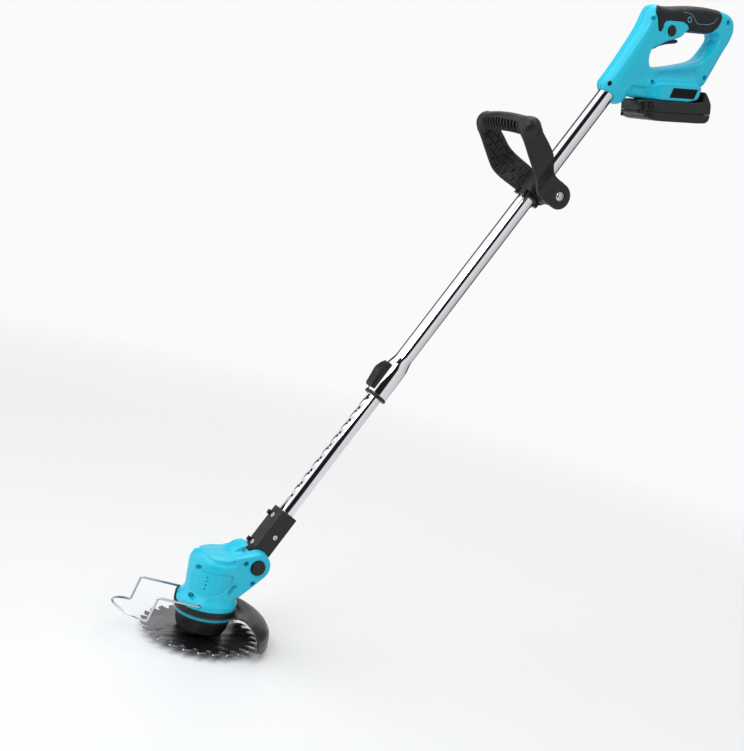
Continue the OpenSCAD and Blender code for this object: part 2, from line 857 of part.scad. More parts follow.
module nose_screw_space() {
    translate([0, 0, nose_at]) rotate([0, -handle_bend, 0]) {
        rod_y(nose_screw_at[0], nose_screw_at[1], 1.6, -12, -5);
        rod_y(nose_screw_at[0], nose_screw_at[1], 3.2, -40, -12);
    }
}

module handle_screw_space() {
    for (at = handle_screw_at) {
        rod_y(at[0], at[1], 1.6, -10, 10);
        rod_y(at[0], at[1], 3.2, -40, -10);
    }
}

module handle_shell(side) {
    color(cyan) difference() {
        in_handle() keep_side(side) difference() {
            handle_solid();
            difference() {
                handle_hollow();
                for (at = handle_screw_at) rod_y(at[0], at[1], 3.6, -frame_half, frame_half);
            }
            handle_screw_space();
            rod_y(button_at[0], button_at[1], lock_off_r + 0.04, -30, 30);
            terminal_solid();
            label_solids();
        }
        in_tube() translate([0, 0, nose_at - 60]) cylinder(r = upper_r, h = 102);
        in_tube() translate([3.6, 0, nose_at]) cylinder(r = 1.9, h = 60);
        in_tube() nose_screw_space();
    }
}

module handle_shell_left() { handle_shell(-1); }

module handle_shell_right() { handle_shell(1); }

module soft_grip() {
    color(black) in_handle() difference() {
        intersection() {
            slab(-40, 40) grip_outline();
            frame_body();
        }
        slab(-core_half, core_half) core_outline();
        handle_screw_space();
        rod_y(button_at[0], button_at[1], lock_off_r + 0.04, -30, 30);
    }
}

module handle_screws() {
    color(steel) {
        in_handle() for (at = handle_screw_at)
            translate([at[0], 10, at[1]]) rotate([90, 0, 0]) screw(1.6, 20, 2.9, 2);
        in_handle() translate([nose_screw_at[0], -5, nose_screw_at[1]]) rotate([90, 0, 0])
            screw(1.6, 7, 2.9, 2);
    }
}

module trigger() {
    color(black) in_handle() {
        slab(-6, 6) polygon([[74, 70.5], [82, 75], [96, 78.8], [114, 81], [114, 86], [105, 86.8],
            [96, 86], [86, 84], [79, 83], [74, 80.5], [72.5, 74]]);
        rod_y(trigger_at[0], trigger_at[1], trigger_pin_r, -9, 9);
    }
}

module switch_body() {
    color(charcoal) in_handle() {
        translate([126, -8, 105]) cube([28, 16, 15]);
        translate([122, -3, 108]) cube([4, 6, 6]);
    }
}

module lock_off_button() {
    color(black) in_handle() rod_y(button_at[0], button_at[1], lock_off_r, -19.5, 16.5);
}

module terminal_solid() {
    translate([70, -16, 14.4]) cube([22, 32, 6]);
}

module terminal_block() {
    color(black) in_handle() {
        terminal_solid();
        for (y = [-8, 8]) translate([70, y - 0.4, 8]) cube([14, 0.8, 6.5]);
    }
}

module label_solids() {
    for (side = [-1, 1])
        slab(min(side * (base_half - 0.6), side * (base_half + 0.3)),
            max(side * (base_half - 0.6), side * (base_half + 0.3)))
            polygon([[89.5, 9.8], [132.5, 9.8], [138, 22.6], [95, 22.6]]);
}

module label_plates() { color(black) in_handle() label_solids(); }

// ---------------------------------------------------------------- battery

pack_top = 5;
pack_split = -10;
pack_wall = 2;

module pack_plan(grow) {
    polygon([[46 - grow, -15 - grow], [52, -22 - grow], [62, -28 - grow], [72, -pack_half - grow],
        [164, -pack_half - grow], [168.5 + grow, -pack_half + 4 - grow],
        [170 + grow, 0], [168.5 + grow, pack_half - 4 + grow], [164, pack_half + grow],
        [72, pack_half + grow], [62, 28 + grow], [52, 22 + grow], [46 - grow, 15 + grow]]);
}

module pack_side() {
    low = pack_top - pack_h;
    polygon([[49.5, -13.5], [57, -15], [63, low + 1], [74, low - 1], [158, low - 1],
        [164, low + 2], [169, -10], [169.5, -4], [165, 6], [159, 14.5], [153.5, 20],
        [150.5, 20], [150.5, pack_top], [52, pack_top], [46, -2], [46, -4], [49.5, -5.5]]);
}

module pack_solid() {
    intersection() {
        translate([0, 0, -30]) linear_extrude(height = 60) pack_plan(0);
        slab(-40, 40) pack_side();
    }
}

module pack_hollow() {
    translate([0, 0, -19]) linear_extrude(height = 22) intersection() {
        pack_plan(-pack_wall);
        translate([68, -50]) square([93, 100]);
    }
}

cell_r = 9;

module battery_top() {
    color(black) in_handle() difference() {
        union() {
            difference() {
                pack_solid();
                pack_hollow();
                translate([0, -50, -100 + pack_split]) cube([200, 100, 100]);
            }
            slab(-20, 20) polygon([[70, 2.5], [71, 14], [150, 14], [150, 2.5]]);
            translate([74, -23, 8.6]) cube([76, 46, 2.6]);
        }
        for (y = [-8, 8]) translate([66, y - 1, 6]) cube([23, 2, 10]);
        translate([163, -8.1, -14]) cube([10, 16.2, 14]);
    }
}

module battery_tray() {
    color(black) in_handle() intersection() {
        difference() {
            pack_solid();
            pack_hollow();
            translate([163, -8.1, -14]) cube([10, 16.2, 14]);
        }
        translate([0, -50, -100 + pack_split]) cube([200, 100, 100]);
    }
}

module battery_cells() {
    color("seagreen") in_handle() for (y = [-18.5, 0, 18.5])
        translate([74, y, -9.5]) rotate([0, 90, 0]) cylinder(r = cell_r, h = 65);
}

module battery_board() {
    color("darkgreen") in_handle() {
        translate([74, -18, 0.5]) cube([60, 36, 1.6]);
        translate([141, -20, -18]) cube([1.6, 40, 18]);
    }
}

module battery_release() {
    color(charcoal) in_handle() translate([165, -8, -13.9]) cube([7, 16, 13.8]);
}

head_shell_left();
head_shell_right();
head_screws();
motor_can();
motor_magnets();
motor_end_cap();
motor_brushes();
motor_rotor();
motor_bushes();
motor_plate();
motor_leads();
spindle();
bearing_outer_race();
bearing_inner_race();
bearing_balls();
drive_flange();
blade();
tooth_tips();
blade_washer();
blade_nut();
hub_skirt();
collar_ring();
collar_band();
blade_guard();
hub_screws();
wire_guard();
pivot_pin();
pivot_button();
pivot_spring();
tube_bracket();
bracket_screws();
lower_tube();
tube_end_bush();
lower_cable();
upper_tube();
guide_bush();
lock_ring();
lock_housing();
lock_slider();
lock_pin();
upper_cable();
loop_liner();
clamp_saddle();
loop_handle();
loop_bolt();
loop_nut();
handle_shell_left();
handle_shell_right();
soft_grip();
handle_screws();
trigger();
switch_body();
lock_off_button();
terminal_block();
label_plates();
battery_top();
battery_tray();
battery_cells();
battery_board();
battery_release();
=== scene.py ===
"""Looks of a cordless lawn edger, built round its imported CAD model.

Builders work in millimetres in a part's own frame (a Place). skin(), lathe(), prism()
and wire() put the finished mesh in metres in the shared frame.
"""
import json
import math
import bmesh
import bpy
import numpy as np
from mathutils import Matrix, Vector


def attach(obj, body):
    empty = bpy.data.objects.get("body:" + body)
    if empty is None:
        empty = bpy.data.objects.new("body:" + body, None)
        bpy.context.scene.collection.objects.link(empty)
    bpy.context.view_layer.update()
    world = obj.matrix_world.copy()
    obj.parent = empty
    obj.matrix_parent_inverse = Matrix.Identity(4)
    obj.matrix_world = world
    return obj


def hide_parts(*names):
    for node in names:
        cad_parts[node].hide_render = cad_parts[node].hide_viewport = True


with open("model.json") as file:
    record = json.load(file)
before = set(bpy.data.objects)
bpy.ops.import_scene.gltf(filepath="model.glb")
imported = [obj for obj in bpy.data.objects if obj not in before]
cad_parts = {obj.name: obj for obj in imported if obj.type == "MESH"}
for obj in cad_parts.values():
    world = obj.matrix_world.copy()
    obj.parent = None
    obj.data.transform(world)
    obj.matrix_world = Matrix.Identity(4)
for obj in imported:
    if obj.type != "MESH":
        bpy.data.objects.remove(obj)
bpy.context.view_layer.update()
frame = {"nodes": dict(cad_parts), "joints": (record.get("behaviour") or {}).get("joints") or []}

MM = 0.001
PI = math.pi
JOINT = {j["name"]: j for j in frame["joints"]}


def add(name, data):
    """A new object, linked to the scene."""
    obj = bpy.data.objects.new(name, data)
    bpy.context.scene.collection.objects.link(obj)
    return obj


def evaluated_mesh(obj):
    """A copy of the mesh that an object's modifiers or curve settings give."""
    depsgraph = bpy.context.evaluated_depsgraph_get()
    return bpy.data.meshes.new_from_object(obj.evaluated_get(depsgraph))


# ---- frames
class Place:
    """A right-handed frame: origin in millimetres and three unit axes."""

    def __init__(self, origin, x, z):
        self.origin = np.array(origin, float)
        self.z = np.array(z, float) / np.linalg.norm(z)
        x = np.array(x, float) - np.dot(x, self.z) * self.z
        self.x = x / np.linalg.norm(x)
        self.y = np.cross(self.z, self.x)

    def world(self, points):
        """Points in metres in the shared frame."""
        p = np.asarray(points, float).reshape(-1, 3)
        out = self.origin + p[:, :1] * self.x + p[:, 1:2] * self.y + p[:, 2:3] * self.z
        return out * MM

    def at(self, x, y, z):
        return Vector(self.world([[x, y, z]])[0])


# The tubes run along ALONG from the head's pivot; distances on them start at the pivot
PIVOT = np.array(JOINT["head_tilt"]["pos_m"]) / MM
ALONG = np.array(JOINT["telescope"]["axis"])
ACROSS = np.array([ALONG[2], 0, -ALONG[0]])
BACK = np.array(JOINT["battery_slide"]["axis"])
LOOP_SIDE = np.array(JOINT["loop_tilt"]["axis"])
HANDLE_AT = 758.0
LOOP_AT = 617.0
BASE = Place([0, 0, 0], [1, 0, 0], [0, 0, 1])
TUBE = Place(PIVOT, ACROSS, ALONG)
LOOP = Place(PIVOT, np.cross(LOOP_SIDE, ALONG), ALONG)
HANDLE = Place(PIVOT + ALONG * HANDLE_AT, BACK, np.cross(BACK, [0, 1, 0]))


# ---- fields
def grid(lo, hi, step):
    """Sample points of a box: their layout, then x, y and z that broadcast together."""
    axes = [np.arange(a, b + step, step, dtype=np.float32) for a, b in zip(lo, hi)]
    layout = (np.array(lo, float), step, tuple(len(a) for a in axes))
    return (layout, axes[0][:, None, None], axes[1][None, :, None], axes[2][None, None, :])


def soften(points, rounds=2, ratio=0.25):
    """Corner cutting: turns an outline's corners into short curves."""
    p = np.array(points, float)
    for _ in range(rounds):
        q = np.roll(p, -1, axis=0)
        p = np.stack([p + (q - p) * ratio, q - (q - p) * ratio], 1).reshape(-1, 2)
    return p


def outline(u, v, points):
    """Signed distance from (u, v) to a closed outline, negative inside."""
    u, v = np.broadcast_arrays(u, v)
    near = np.full(u.shape, 1e9, np.float32)
    inside = np.zeros(u.shape, bool)
    pts = np.asarray(points, np.float32)
    for p, q in zip(pts, np.roll(pts, -1, axis=0)):
        e = q - p
        du, dv = u - p[0], v - p[1]
        h = np.clip((du * e[0] + dv * e[1]) / max(float(e @ e), 1e-9), 0, 1)
        near = np.minimum(near, (du - e[0] * h) ** 2 + (dv - e[1] * h) ** 2)
        if abs(e[1]) > 1e-9:
            inside ^= ((p[1] > v) != (q[1] > v)) & (du < e[0] * dv / e[1])
    near = np.sqrt(near)
    return np.where(inside, -near, near)


def join(a, b, k=0.0):
    """Union of two fields, blended over about k millimetres."""
    if k <= 0:
        return np.minimum(a, b)
    h = np.clip(0.5 + 0.5 * (b - a) / k, 0, 1)
    return b * (1 - h) + a * h - k * h * (1 - h)


def both(a, b, k=0.0):
    """What two fields have in common."""
    return np.maximum(a, b) if k <= 0 else -join(-a, -b, k)


def cut(a, b, k=0.0):
    """The first field without the second."""
    return both(a, -b, k)


def plate(flat, across, half, edge, power=2.4):
    """An outline given thickness 2*half whose rim rounds over within edge."""
    rim = np.maximum(edge + flat, 0) / edge
    body = (rim**power + (np.abs(across) / half) ** power) ** (1 / power)
    return (body - 1) * np.minimum(edge, half)


def rod(u, v, w, at, r, start, end):
    """A round bar along w between start and end."""
    side = np.hypot(u - at[0], v - at[1]) - r
    return both(side, np.abs(w - (start + end) / 2) - (end - start) / 2)


def block(u, v, w, lo, hi):
    """A box between two corners."""
    a, b, c = (np.abs(t - (p + q) / 2) - (q - p) / 2 for t, p, q in zip((u, v, w), lo, hi))
    return both(both(a, b), c)


def stroke(u, v, points):
    """Distance from (u, v) to an open line of points."""
    u, v = np.broadcast_arrays(u, v)
    near = np.full(u.shape, 1e9, np.float32)
    for p, q in zip(points[:-1], points[1:]):
        e = (q[0] - p[0], q[1] - p[1])
        du, dv = u - p[0], v - p[1]
        h = np.clip((du * e[0] + dv * e[1]) / max(e[0] ** 2 + e[1] ** 2, 1e-9), 0, 1)
        near = np.minimum(near, np.hypot(du - e[0] * h, dv - e[1] * h))
    return near


def skin_mesh(field, layout):
    """Closed quad mesh of the surface where the field is zero."""
    lo, step, shape = layout
    f = np.ascontiguousarray(np.broadcast_to(field, shape), np.float32).copy()
    for axis in range(3):
        edge = [slice(None)] * 3
        for end in (0, -1):
            edge[axis] = end
            f[tuple(edge)] = np.maximum(f[tuple(edge)], step)
    stride = np.array([f.shape[1] * f.shape[2], f.shape[2], 1])
    cells, places, quads = [], [], []
    for axis in range(3):
        first = [slice(None)] * 3
        second = [slice(None)] * 3
        first[axis], second[axis] = slice(0, -1), slice(1, None)
        a, b = f[tuple(first)], f[tuple(second)]
        crossing = (a < 0) != (b < 0)
        at = np.argwhere(crossing)
        va, vb = a[crossing], b[crossing]
        spot = at.astype(float)
        spot[:, axis] += va / (va - vb)
        base = at @ stride
        su, sv = stride[(axis + 1) % 3], stride[(axis + 2) % 3]
        ring = np.stack([base, base - su, base - su - sv, base - sv], 1)
        cells.append(ring.T.ravel())
        places.append(np.tile(spot, (4, 1)))
        ring[va > 0] = ring[va > 0][:, ::-1]
        quads.append(ring)
    used, index = np.unique(np.concatenate(cells), return_inverse=True)
    spots = np.concatenate(places)
    count = np.bincount(index)
    verts = np.stack([np.bincount(index, weights=spots[:, k]) / count for k in range(3)], 1)
    faces = np.searchsorted(used, np.concatenate(quads))
    return lo + step * verts, faces


SMOOTH, REGROW = 0.5, -0.52


def relax(verts, faces, rounds):
    """Evens out the mesh; each smoothing step is followed by one that regrows it."""
    a = faces.ravel()
    b = np.roll(faces, -1, axis=1).ravel()
    links = np.concatenate([a, b])
    others = np.concatenate([b, a])
    count = np.bincount(links, minlength=len(verts))[:, None]
    for _ in range(rounds):
        for amount in (SMOOTH, REGROW):
            mean = np.stack([np.bincount(links, weights=verts[others, k], minlength=len(verts))
                             for k in range(3)], 1) / count
            verts = verts + amount * (mean - verts)
    return verts


# ---- pieces
def paint(obj, material):
    obj.data.materials.clear()
    obj.data.materials.append(material)


def finish_piece(obj, material, body, node=None):
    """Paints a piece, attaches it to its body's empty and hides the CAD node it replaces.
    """
    paint(obj, material)
    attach(obj, body)
    if node:
        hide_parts(node)
    return obj


def new_object(name, verts, faces, sharp, weld=0.0):
    """A smooth mesh object; edges above `sharp` degrees stay crisp, doubles are welded."""
    mesh = bpy.data.meshes.new(name)
    mesh.from_pydata([tuple(v) for v in verts], [], [tuple(f) for f in faces])
    mesh.validate()
    mesh.polygons.foreach_set("use_smooth", [True] * len(mesh.polygons))
    if weld:
        bm = bmesh.new()
        bm.from_mesh(mesh)
        bmesh.ops.remove_doubles(bm, verts=bm.verts, dist=weld)
        bmesh.ops.recalc_face_normals(bm, faces=bm.faces)
        bm.to_mesh(mesh)
        bm.free()
    mesh.set_sharp_from_angle(angle=math.radians(sharp))
    mesh.update()
    return add(name, mesh)


def skin(name, field, layout, place, material, body, node=None, rounds=2):
    """A closed piece where the field is negative."""
    verts, faces = skin_mesh(field, layout)
    verts = relax(verts, faces, rounds)
    obj = new_object(name, place.world(verts), faces.tolist(), sharp=55)
    return finish_piece(obj, material, body, node)


CORNER_SHARE = 0.45


def corner(p0, p1, p2, radius, steps):
    """A curve that rounds the corner p1, using at most a share of either side."""
    a, b = p0 - p1, p2 - p1
    la, lb = np.linalg.norm(a), np.linalg.norm(b)
    r = min(radius, CORNER_SHARE * la, CORNER_SHARE * lb)
    s, e = p1 + a / la * r, p1 + b / lb * r
    return [(1 - t) ** 2 * s + 2 * t * (1 - t) * p1 + t * t * e
            for t in (k / steps for k in range(steps + 1))]


def fillet(profile, radius):
    """Rounds the corners of a closed profile."""
    pts = [np.array(p, float) for p in profile]
    corners = zip(pts[-1:] + pts[:-1], pts, pts[1:] + pts[:1])
    return [q for p in corners for q in corner(*p, radius, steps=3)]


def round_path(points, radius):
    """Rounds the corners of an open path."""
    pts = [np.array(p, float) for p in points]
    bends = [q for p in zip(pts, pts[1:], pts[2:]) for q in corner(*p, radius, steps=6)]
    return [pts[0]] + bends + [pts[-1]]


def lathe(name, profile, place, material, body, node=None, segments=128,
          radius=0.4, start=0.0, sweep=2 * PI):
    """Turns a closed (r, z) profile about the place's Z axis."""
    prof = np.array(fillet(profile, radius))
    prof[:, 0] = np.maximum(prof[:, 0], 0.0)
    full = abs(sweep - 2 * PI) < 1e-6
    count = segments if full else segments + 1
    angles = start + np.arange(count) * sweep / segments
    verts = [(r * math.cos(a), r * math.sin(a), z) for a in angles for r, z in prof]
    m = len(prof)
    faces = []
    for i in range(segments):
        j = (i + 1) % count
        for k in range(m):
            k2 = (k + 1) % m
            faces.append((i * m + k, j * m + k, j * m + k2, i * m + k2))
    if not full:
        faces.append(tuple(range(m)))
        faces.append(tuple(reversed(range((count - 1) * m, count * m))))
    obj = new_object(name, place.world(verts), faces, sharp=38, weld=1e-7)
    return finish_piece(obj, material, body, node)


def prism(name, rings, place, y0, y1, bevel, material, body, node):
    """Flat outlines in X-Z (the first is the rim, the rest are holes), from y0 to y1."""
    curve = bpy.data.curves.new(name, "CURVE")
    curve.dimensions = "2D"
    curve.fill_mode = "BOTH"
    for ring in rings:
        s = curve.splines.new("POLY")
        s.points.add(len(ring) - 1)
        for p, (u, v) in zip(s.points, ring):
            p.co = (u, v, 0, 1)
        s.use_cyclic_u = True
    curve.extrude = abs(y1 - y0) / 2 - bevel
    curve.bevel_depth = bevel
    curve.bevel_resolution = 2
    curve.offset = -bevel
    holder = add(name, curve)
    mesh = evaluated_mesh(holder)
    bpy.data.objects.remove(holder)
    co = np.array([v.co for v in mesh.vertices])
    local = np.stack([co[:, 0], (y0 + y1) / 2 + co[:, 2], co[:, 1]], 1)
    faces = [tuple(reversed(p.vertices)) for p in mesh.polygons]
    bpy.data.meshes.remove(mesh)
    obj = new_object(name, place.world(local), faces, sharp=30, weld=1e-6)
    return finish_piece(obj, material, body, node)


def wire(name, points, r, place, material, body, node=None, closed=False, sides=8):
    """A round wire swept along points."""
    pts = np.array(points, float)
    n = len(pts)
    tangent = np.roll(pts, -1, 0) - np.roll(pts, 1, 0)
    if not closed:
        tangent[0], tangent[-1] = pts[1] - pts[0], pts[-1] - pts[-2]
    tangent /= np.linalg.norm(tangent, axis=1)[:, None]
    side = np.cross(tangent[0], [0.31, 0.17, 0.94])  # any direction off the tangent will do
    verts, faces = [], []
    for p, t in zip(pts, tangent):
        side = side - (side @ t) * t
        side = side / np.linalg.norm(side)
        up = np.cross(t, side)
        for k in range(sides):
            a = 2 * PI * k / sides
            verts.append(p + r * (math.cos(a) * side + math.sin(a) * up))
    for i in range(n if closed else n - 1):
        j = (i + 1) % n
        for k in range(sides):
            k2 = (k + 1) % sides
            faces.append((i * sides + k, i * sides + k2, j * sides + k2, j * sides + k))
    if not closed:
        faces.append(tuple(reversed(range(sides))))
        faces.append(tuple(range((n - 1) * sides, n * sides)))
    obj = new_object(name, place.world(verts), faces, sharp=40)
    return finish_piece(obj, material, body, node)


# ---- materials
def srgb(r, g, b):
    """Linear colour from 0-255 display values."""
    def lin(c):
        c /= 255
        return c / 12.92 if c <= 0.04045 else ((c + 0.055) / 1.055) ** 2.4
    return (lin(r), lin(g), lin(b), 1)


COAT_ROUGHNESS = 0.12
DARKER = 0.55
WORN_MM = 0.8
PALE_DUST = (0.45, 0.43, 0.36, 1)


class Nodes:
    """Adds shader nodes to one tree."""

    def __init__(self, tree):
        self.tree = tree

    def node(self, kind, **settings):
        n = self.tree.nodes.new("ShaderNode" + kind)
        for key, value in settings.items():
            setattr(n, key, value)
        return n

    def put(self, value, socket):
        """Links a socket's value in, or writes a plain one."""
        if isinstance(value, bpy.types.NodeSocket):
            self.tree.links.new(value, socket)
        elif value is not None:
            socket.default_value = value

    def feed(self, node, *values, **named):
        """Fills a node's inputs in order or by name and gives its first output."""
        for socket, value in zip(node.inputs, values):
            self.put(value, socket)
        for key, value in named.items():
            self.put(value, node.inputs[key])
        return node.outputs[0]

    def maths(self, operation, a, b=None, clamp=False):
        return self.feed(self.node("Math", operation=operation, use_clamp=clamp), a, b)

    def remap(self, value, lo, hi, to_lo=0.0, to_hi=1.0):
        return self.feed(self.node("MapRange"), value, lo, hi, to_lo, to_hi)

    def dot(self, a, b):
        n = self.node("VectorMath", operation="DOT_PRODUCT")
        self.feed(n, a, b)
        return n.outputs["Value"]

    def mix_shader(self, factor, a, b):
        return self.feed(self.node("MixShader"), factor, a, b)


class Finish(Nodes):
    """A material put together layer by layer."""

    def __init__(self, name, colour, rough, metallic=0.0, coat=0.0, sheen=0.0, specular=0.5):
        self.mat = bpy.data.materials.new(name)
        self.mat.use_nodes = True
        super().__init__(self.mat.node_tree)
        self.bsdf = self.tree.nodes["Principled BSDF"]
        self.feed(self.bsdf, **{
            "Base Color": colour, "Metallic": metallic, "Coat Weight": coat,
            "Coat Roughness": COAT_ROUGHNESS, "Sheen Weight": sheen,
            "Specular IOR Level": specular})
        self.place = self.node("TexCoord").outputs["Object"]
        self.colour, self.rough, self.height = colour, rough, None

    def noise(self, size_mm, detail=3.0, stretch=(1, 1, 1)):
        place = self.feed(self.node("Mapping"), self.place, Scale=stretch)
        n = self.node("TexNoise")
        self.feed(n, place, Scale=1000 / size_mm, Detail=detail, Roughness=0.55)
        return n.outputs["Fac"]

    def cells(self, size_mm):
        n = self.node("TexVoronoi")
        self.feed(n, self.place, Scale=1000 / size_mm)
        return n.outputs["Distance"]

    def mix(self, factor, colour):
        n = self.node("Mix", data_type="RGBA")
        # A mix node has one set of inputs for each data type; 6 and 7 are the colours
        for k, value in ((0, factor), (6, self.colour), (7, colour)):
            self.put(value, n.inputs[k])
        self.colour = n.outputs[2]
        return self

    def vary(self, size_mm, amount, colour=None):
        """Patches of another colour, or of a darker shade of the material's own."""
        if colour is None:
            base = self.bsdf.inputs["Base Color"].default_value
            colour = tuple(c * DARKER for c in base[:3]) + (1,)
        return self.mix(self.remap(self.noise(size_mm), 0.35, 0.65, 0.0, amount), colour)

    def roughen(self, size_mm, amount, stretch=(1, 1, 1)):
        value = self.remap(self.noise(size_mm, stretch=stretch), 0.3, 0.7, -amount, amount)
        self.rough = self.maths("ADD", self.rough, value, clamp=True)
        return self

    def bump(self, value, height_mm):
        """Adds to the height map; height_mm is the height at value 1."""
        scaled = self.maths("MULTIPLY", value, height_mm * MM)
        self.height = scaled if self.height is None else self.maths("ADD", self.height, scaled)
        return self

    def grain(self, size_mm, height_mm, detail=2.0, stretch=(1, 1, 1)):
        return self.bump(self.noise(size_mm, detail, stretch), height_mm)

    def worn_edges(self, colour, amount=0.6):
        """Lighter rubbed edges, found by comparing the true and the rounded normal."""
        rounded = self.feed(self.node("Bevel", samples=4), Radius=WORN_MM * MM)
        normal = self.node("NewGeometry").outputs["Normal"]
        edge = self.remap(self.dot(rounded, normal), 0.985, 0.86)
        patch = self.remap(self.noise(7, 4), 0.42, 0.62, 0.0, amount)
        return self.mix(self.maths("MULTIPLY", edge, patch, clamp=True), colour)

    def dust(self, amount):
        """A pale film that settles on faces that look up."""
        split = self.node("SeparateXYZ")
        self.feed(split, self.node("NewGeometry").outputs["Normal"])
        up = self.remap(split.outputs["Z"], 0.2, 1.0)
        patch = self.remap(self.noise(18, 5), 0.4, 0.75, 0.0, amount)
        return self.mix(self.maths("MULTIPLY", up, patch, clamp=True), PALE_DUST)

    def done(self):
        self.feed(self.bsdf, **{"Base Color": self.colour, "Roughness": self.rough})
        if self.height is not None:
            bump = self.node("Bump")
            normal = self.feed(bump, Strength=1.0, Distance=1.0, Height=self.height)
            self.feed(self.bsdf, Normal=normal)
        return self.mat


def plastic(name, colour, rough, grain_mm, grain_h, worn=None, coat=0.0, patch=0.35,
            specular=0.36):
    """Moulded plastic: broad and fine patches, grain, rubbed edges, a trace of dust."""
    f = Finish(name, colour, rough, coat=coat, specular=specular)
    f.vary(26, patch * 0.5).vary(3.5, patch * 0.25)
    f.roughen(12, 0.05).roughen(1.2, 0.04)
    f.grain(grain_mm, grain_h).grain(9, 0.03, 1.0)
    if worn:
        f.worn_edges(worn)
    return f.dust(0.06).done()


CYAN = plastic("cyan_shell", srgb(26, 197, 227), 0.34, 0.45,
               0.008, srgb(150, 215, 232), coat=0.08, patch=0.2)
RING_CYAN = plastic("ring_cyan", srgb(12, 158, 188), 0.34, 0.45,
                    0.006, srgb(90, 180, 205), coat=0.1, patch=0.2)
BLACK = plastic("black_plastic", srgb(15, 16, 17), 0.36, 0.4, 0.012, srgb(70, 71, 74))
CHARCOAL = plastic("charcoal_plastic", srgb(26, 26, 27), 0.4, 0.55, 0.016, srgb(84, 84, 86))
GREY = plastic("grey_plastic", srgb(45, 45, 46), 0.33, 0.6, 0.008, srgb(120, 120, 122))
BATTERY = plastic("battery_plastic", srgb(19, 23, 26), 0.34, 0.5, 0.012, srgb(80, 84, 88))


def rubber(name, colour):
    """Soft plastic with a pebbled surface."""
    f = Finish(name, colour, 0.6, sheen=0.05, specular=0.35)
    f.vary(20, 0.3).vary(2.5, 0.2)
    f.bump(f.cells(0.9), 0.05).grain(0.3, 0.01)
    f.roughen(8, 0.07)
    return f.worn_edges(srgb(60, 62, 66), 0.4).dust(0.08).done()


RUBBER = rubber("soft_grip", srgb(11, 15, 20))


def metal(name, colour, rough, scratch_mm, scratch_h, patch=0.25, stretch=(1, 1, 1), worn=None,
          amount=0.6):
    """Bare metal with fine scratches."""
    f = Finish(name, colour, rough, metallic=1.0)
    f.vary(15, patch)
    f.roughen(scratch_mm * 4, rough * 0.35, stretch).roughen(9, rough * 0.3)
    f.grain(scratch_mm, scratch_h, 2.0, stretch)
    if worn:
        f.worn_edges(worn, amount)
    return f.done()


CHROME = metal("chrome_tube", srgb(226, 227, 231), 0.055, 0.6, 0.0002, 0.1, (1, 1, 0.12))
WIRE = metal("chrome_wire", srgb(214, 214, 218), 0.13, 0.8, 0.002)
SCREW = metal("screw_steel", srgb(205, 206, 210), 0.2, 0.3, 0.003, worn=srgb(235, 235, 238))
DARK_SCREW = metal("screw_blackened", srgb(44, 44, 46), 0.38, 0.3, 0.003,
                   worn=srgb(110, 110, 112), amount=0.4)
MACHINED = metal("machined_steel", srgb(168, 170, 175), 0.26, 0.3, 0.003, stretch=(1, 1, 6))
CARBIDE = metal("carbide", srgb(225, 226, 230), 0.2, 0.2, 0.004, 0.15)
BRONZE = metal("bronze", srgb(176, 132, 78), 0.38, 0.35, 0.01, 0.4)
MAGNET = plastic("magnet", srgb(62, 62, 66), 0.5, 0.25, 0.02, srgb(110, 110, 112))
RED_WIRE = rubber("red_wire", srgb(150, 28, 22))
BLACK_WIRE = rubber("black_wire", srgb(22, 22, 23))
CELL = plastic("cell_wrap", srgb(30, 120, 84), 0.3, 0.8, 0.006, srgb(120, 190, 160), coat=0.3)
CIRCUIT = plastic("circuit", srgb(18, 84, 46), 0.35, 0.3, 0.02, srgb(190, 160, 80), coat=0.2)
LABEL = plastic("label_black", srgb(3, 3, 4), 0.3, 0.6, 0.002, srgb(40, 40, 42),
                specular=0.15)
INK = plastic("ink_blue", srgb(120, 195, 225), 0.4, 0.4, 0.004)


def blade_metal():
    """Ground steel: fine rings round the spindle, broken into radial sheen."""
    f = Finish("blade_steel", srgb(143, 143, 146), 0.3, metallic=1.0)
    split = f.node("SeparateXYZ")
    x = f.feed(split, f.place)
    y = split.outputs["Y"]
    squares = f.maths("ADD", f.maths("MULTIPLY", x, x), f.maths("MULTIPLY", y, y))
    radius = f.maths("SQRT", squares)
    turn = f.maths("MULTIPLY", f.maths("ARCTAN2", y, x), 0.004)
    keep, f.place = f.place, f.feed(f.node("CombineXYZ"), radius, turn)
    f.grain(0.22, 0.012, 3.0).roughen(0.5, 0.07)
    f.place = keep
    f.vary(22, 0.35).vary(4, 0.2, srgb(70, 66, 60))
    tangent = f.node("Tangent", direction_type="RADIAL", axis="Z")
    f.feed(f.bsdf, Anisotropic=0.75, Tangent=tangent.outputs[0])
    return f.done()


BLADE = blade_metal()


# ---- rear handle
LEAN = float(ALONG @ HANDLE.x), float(ALONG @ HANDLE.z)
FRAME_HALF = 17.0
FRAME_EDGE = 10.0
OPENING_EDGE = 5.0
FRAME_POWER = 2.3
FRAME_RIM = soften([
    (-4, 12.5), (-5.5, 24.5), (3, 35), (18, 55), (30.5, 73), (41.5, 89), (49.5, 102), (55, 116),
    (60, 124.5), (66, 129), (73, 126.5), (90, 127), (120, 130.5), (151, 131.5), (184, 129),
    (196, 125), (203, 118), (205.5, 109), (205, 100), (200.5, 88.5), (188, 69), (171.5, 39.5),
    (165, 28.5), (158, 24), (149, 21), (146, 14), (66, 8), (50, 10), (37, 10), (30, -1),
    (20, -5), (9, 2)], 2, 0.2)
OPENING = soften([
    (64, 70), (61, 60), (62.5, 51), (68, 46.6), (102, 50.5), (144, 59), (157, 65.5),
    (168.5, 78.5), (177, 91), (174.5, 96), (169, 97.5), (120, 97), (117, 94), (114, 90),
    (108, 86.5), (90, 82), (76, 75)], 2, 0.2)
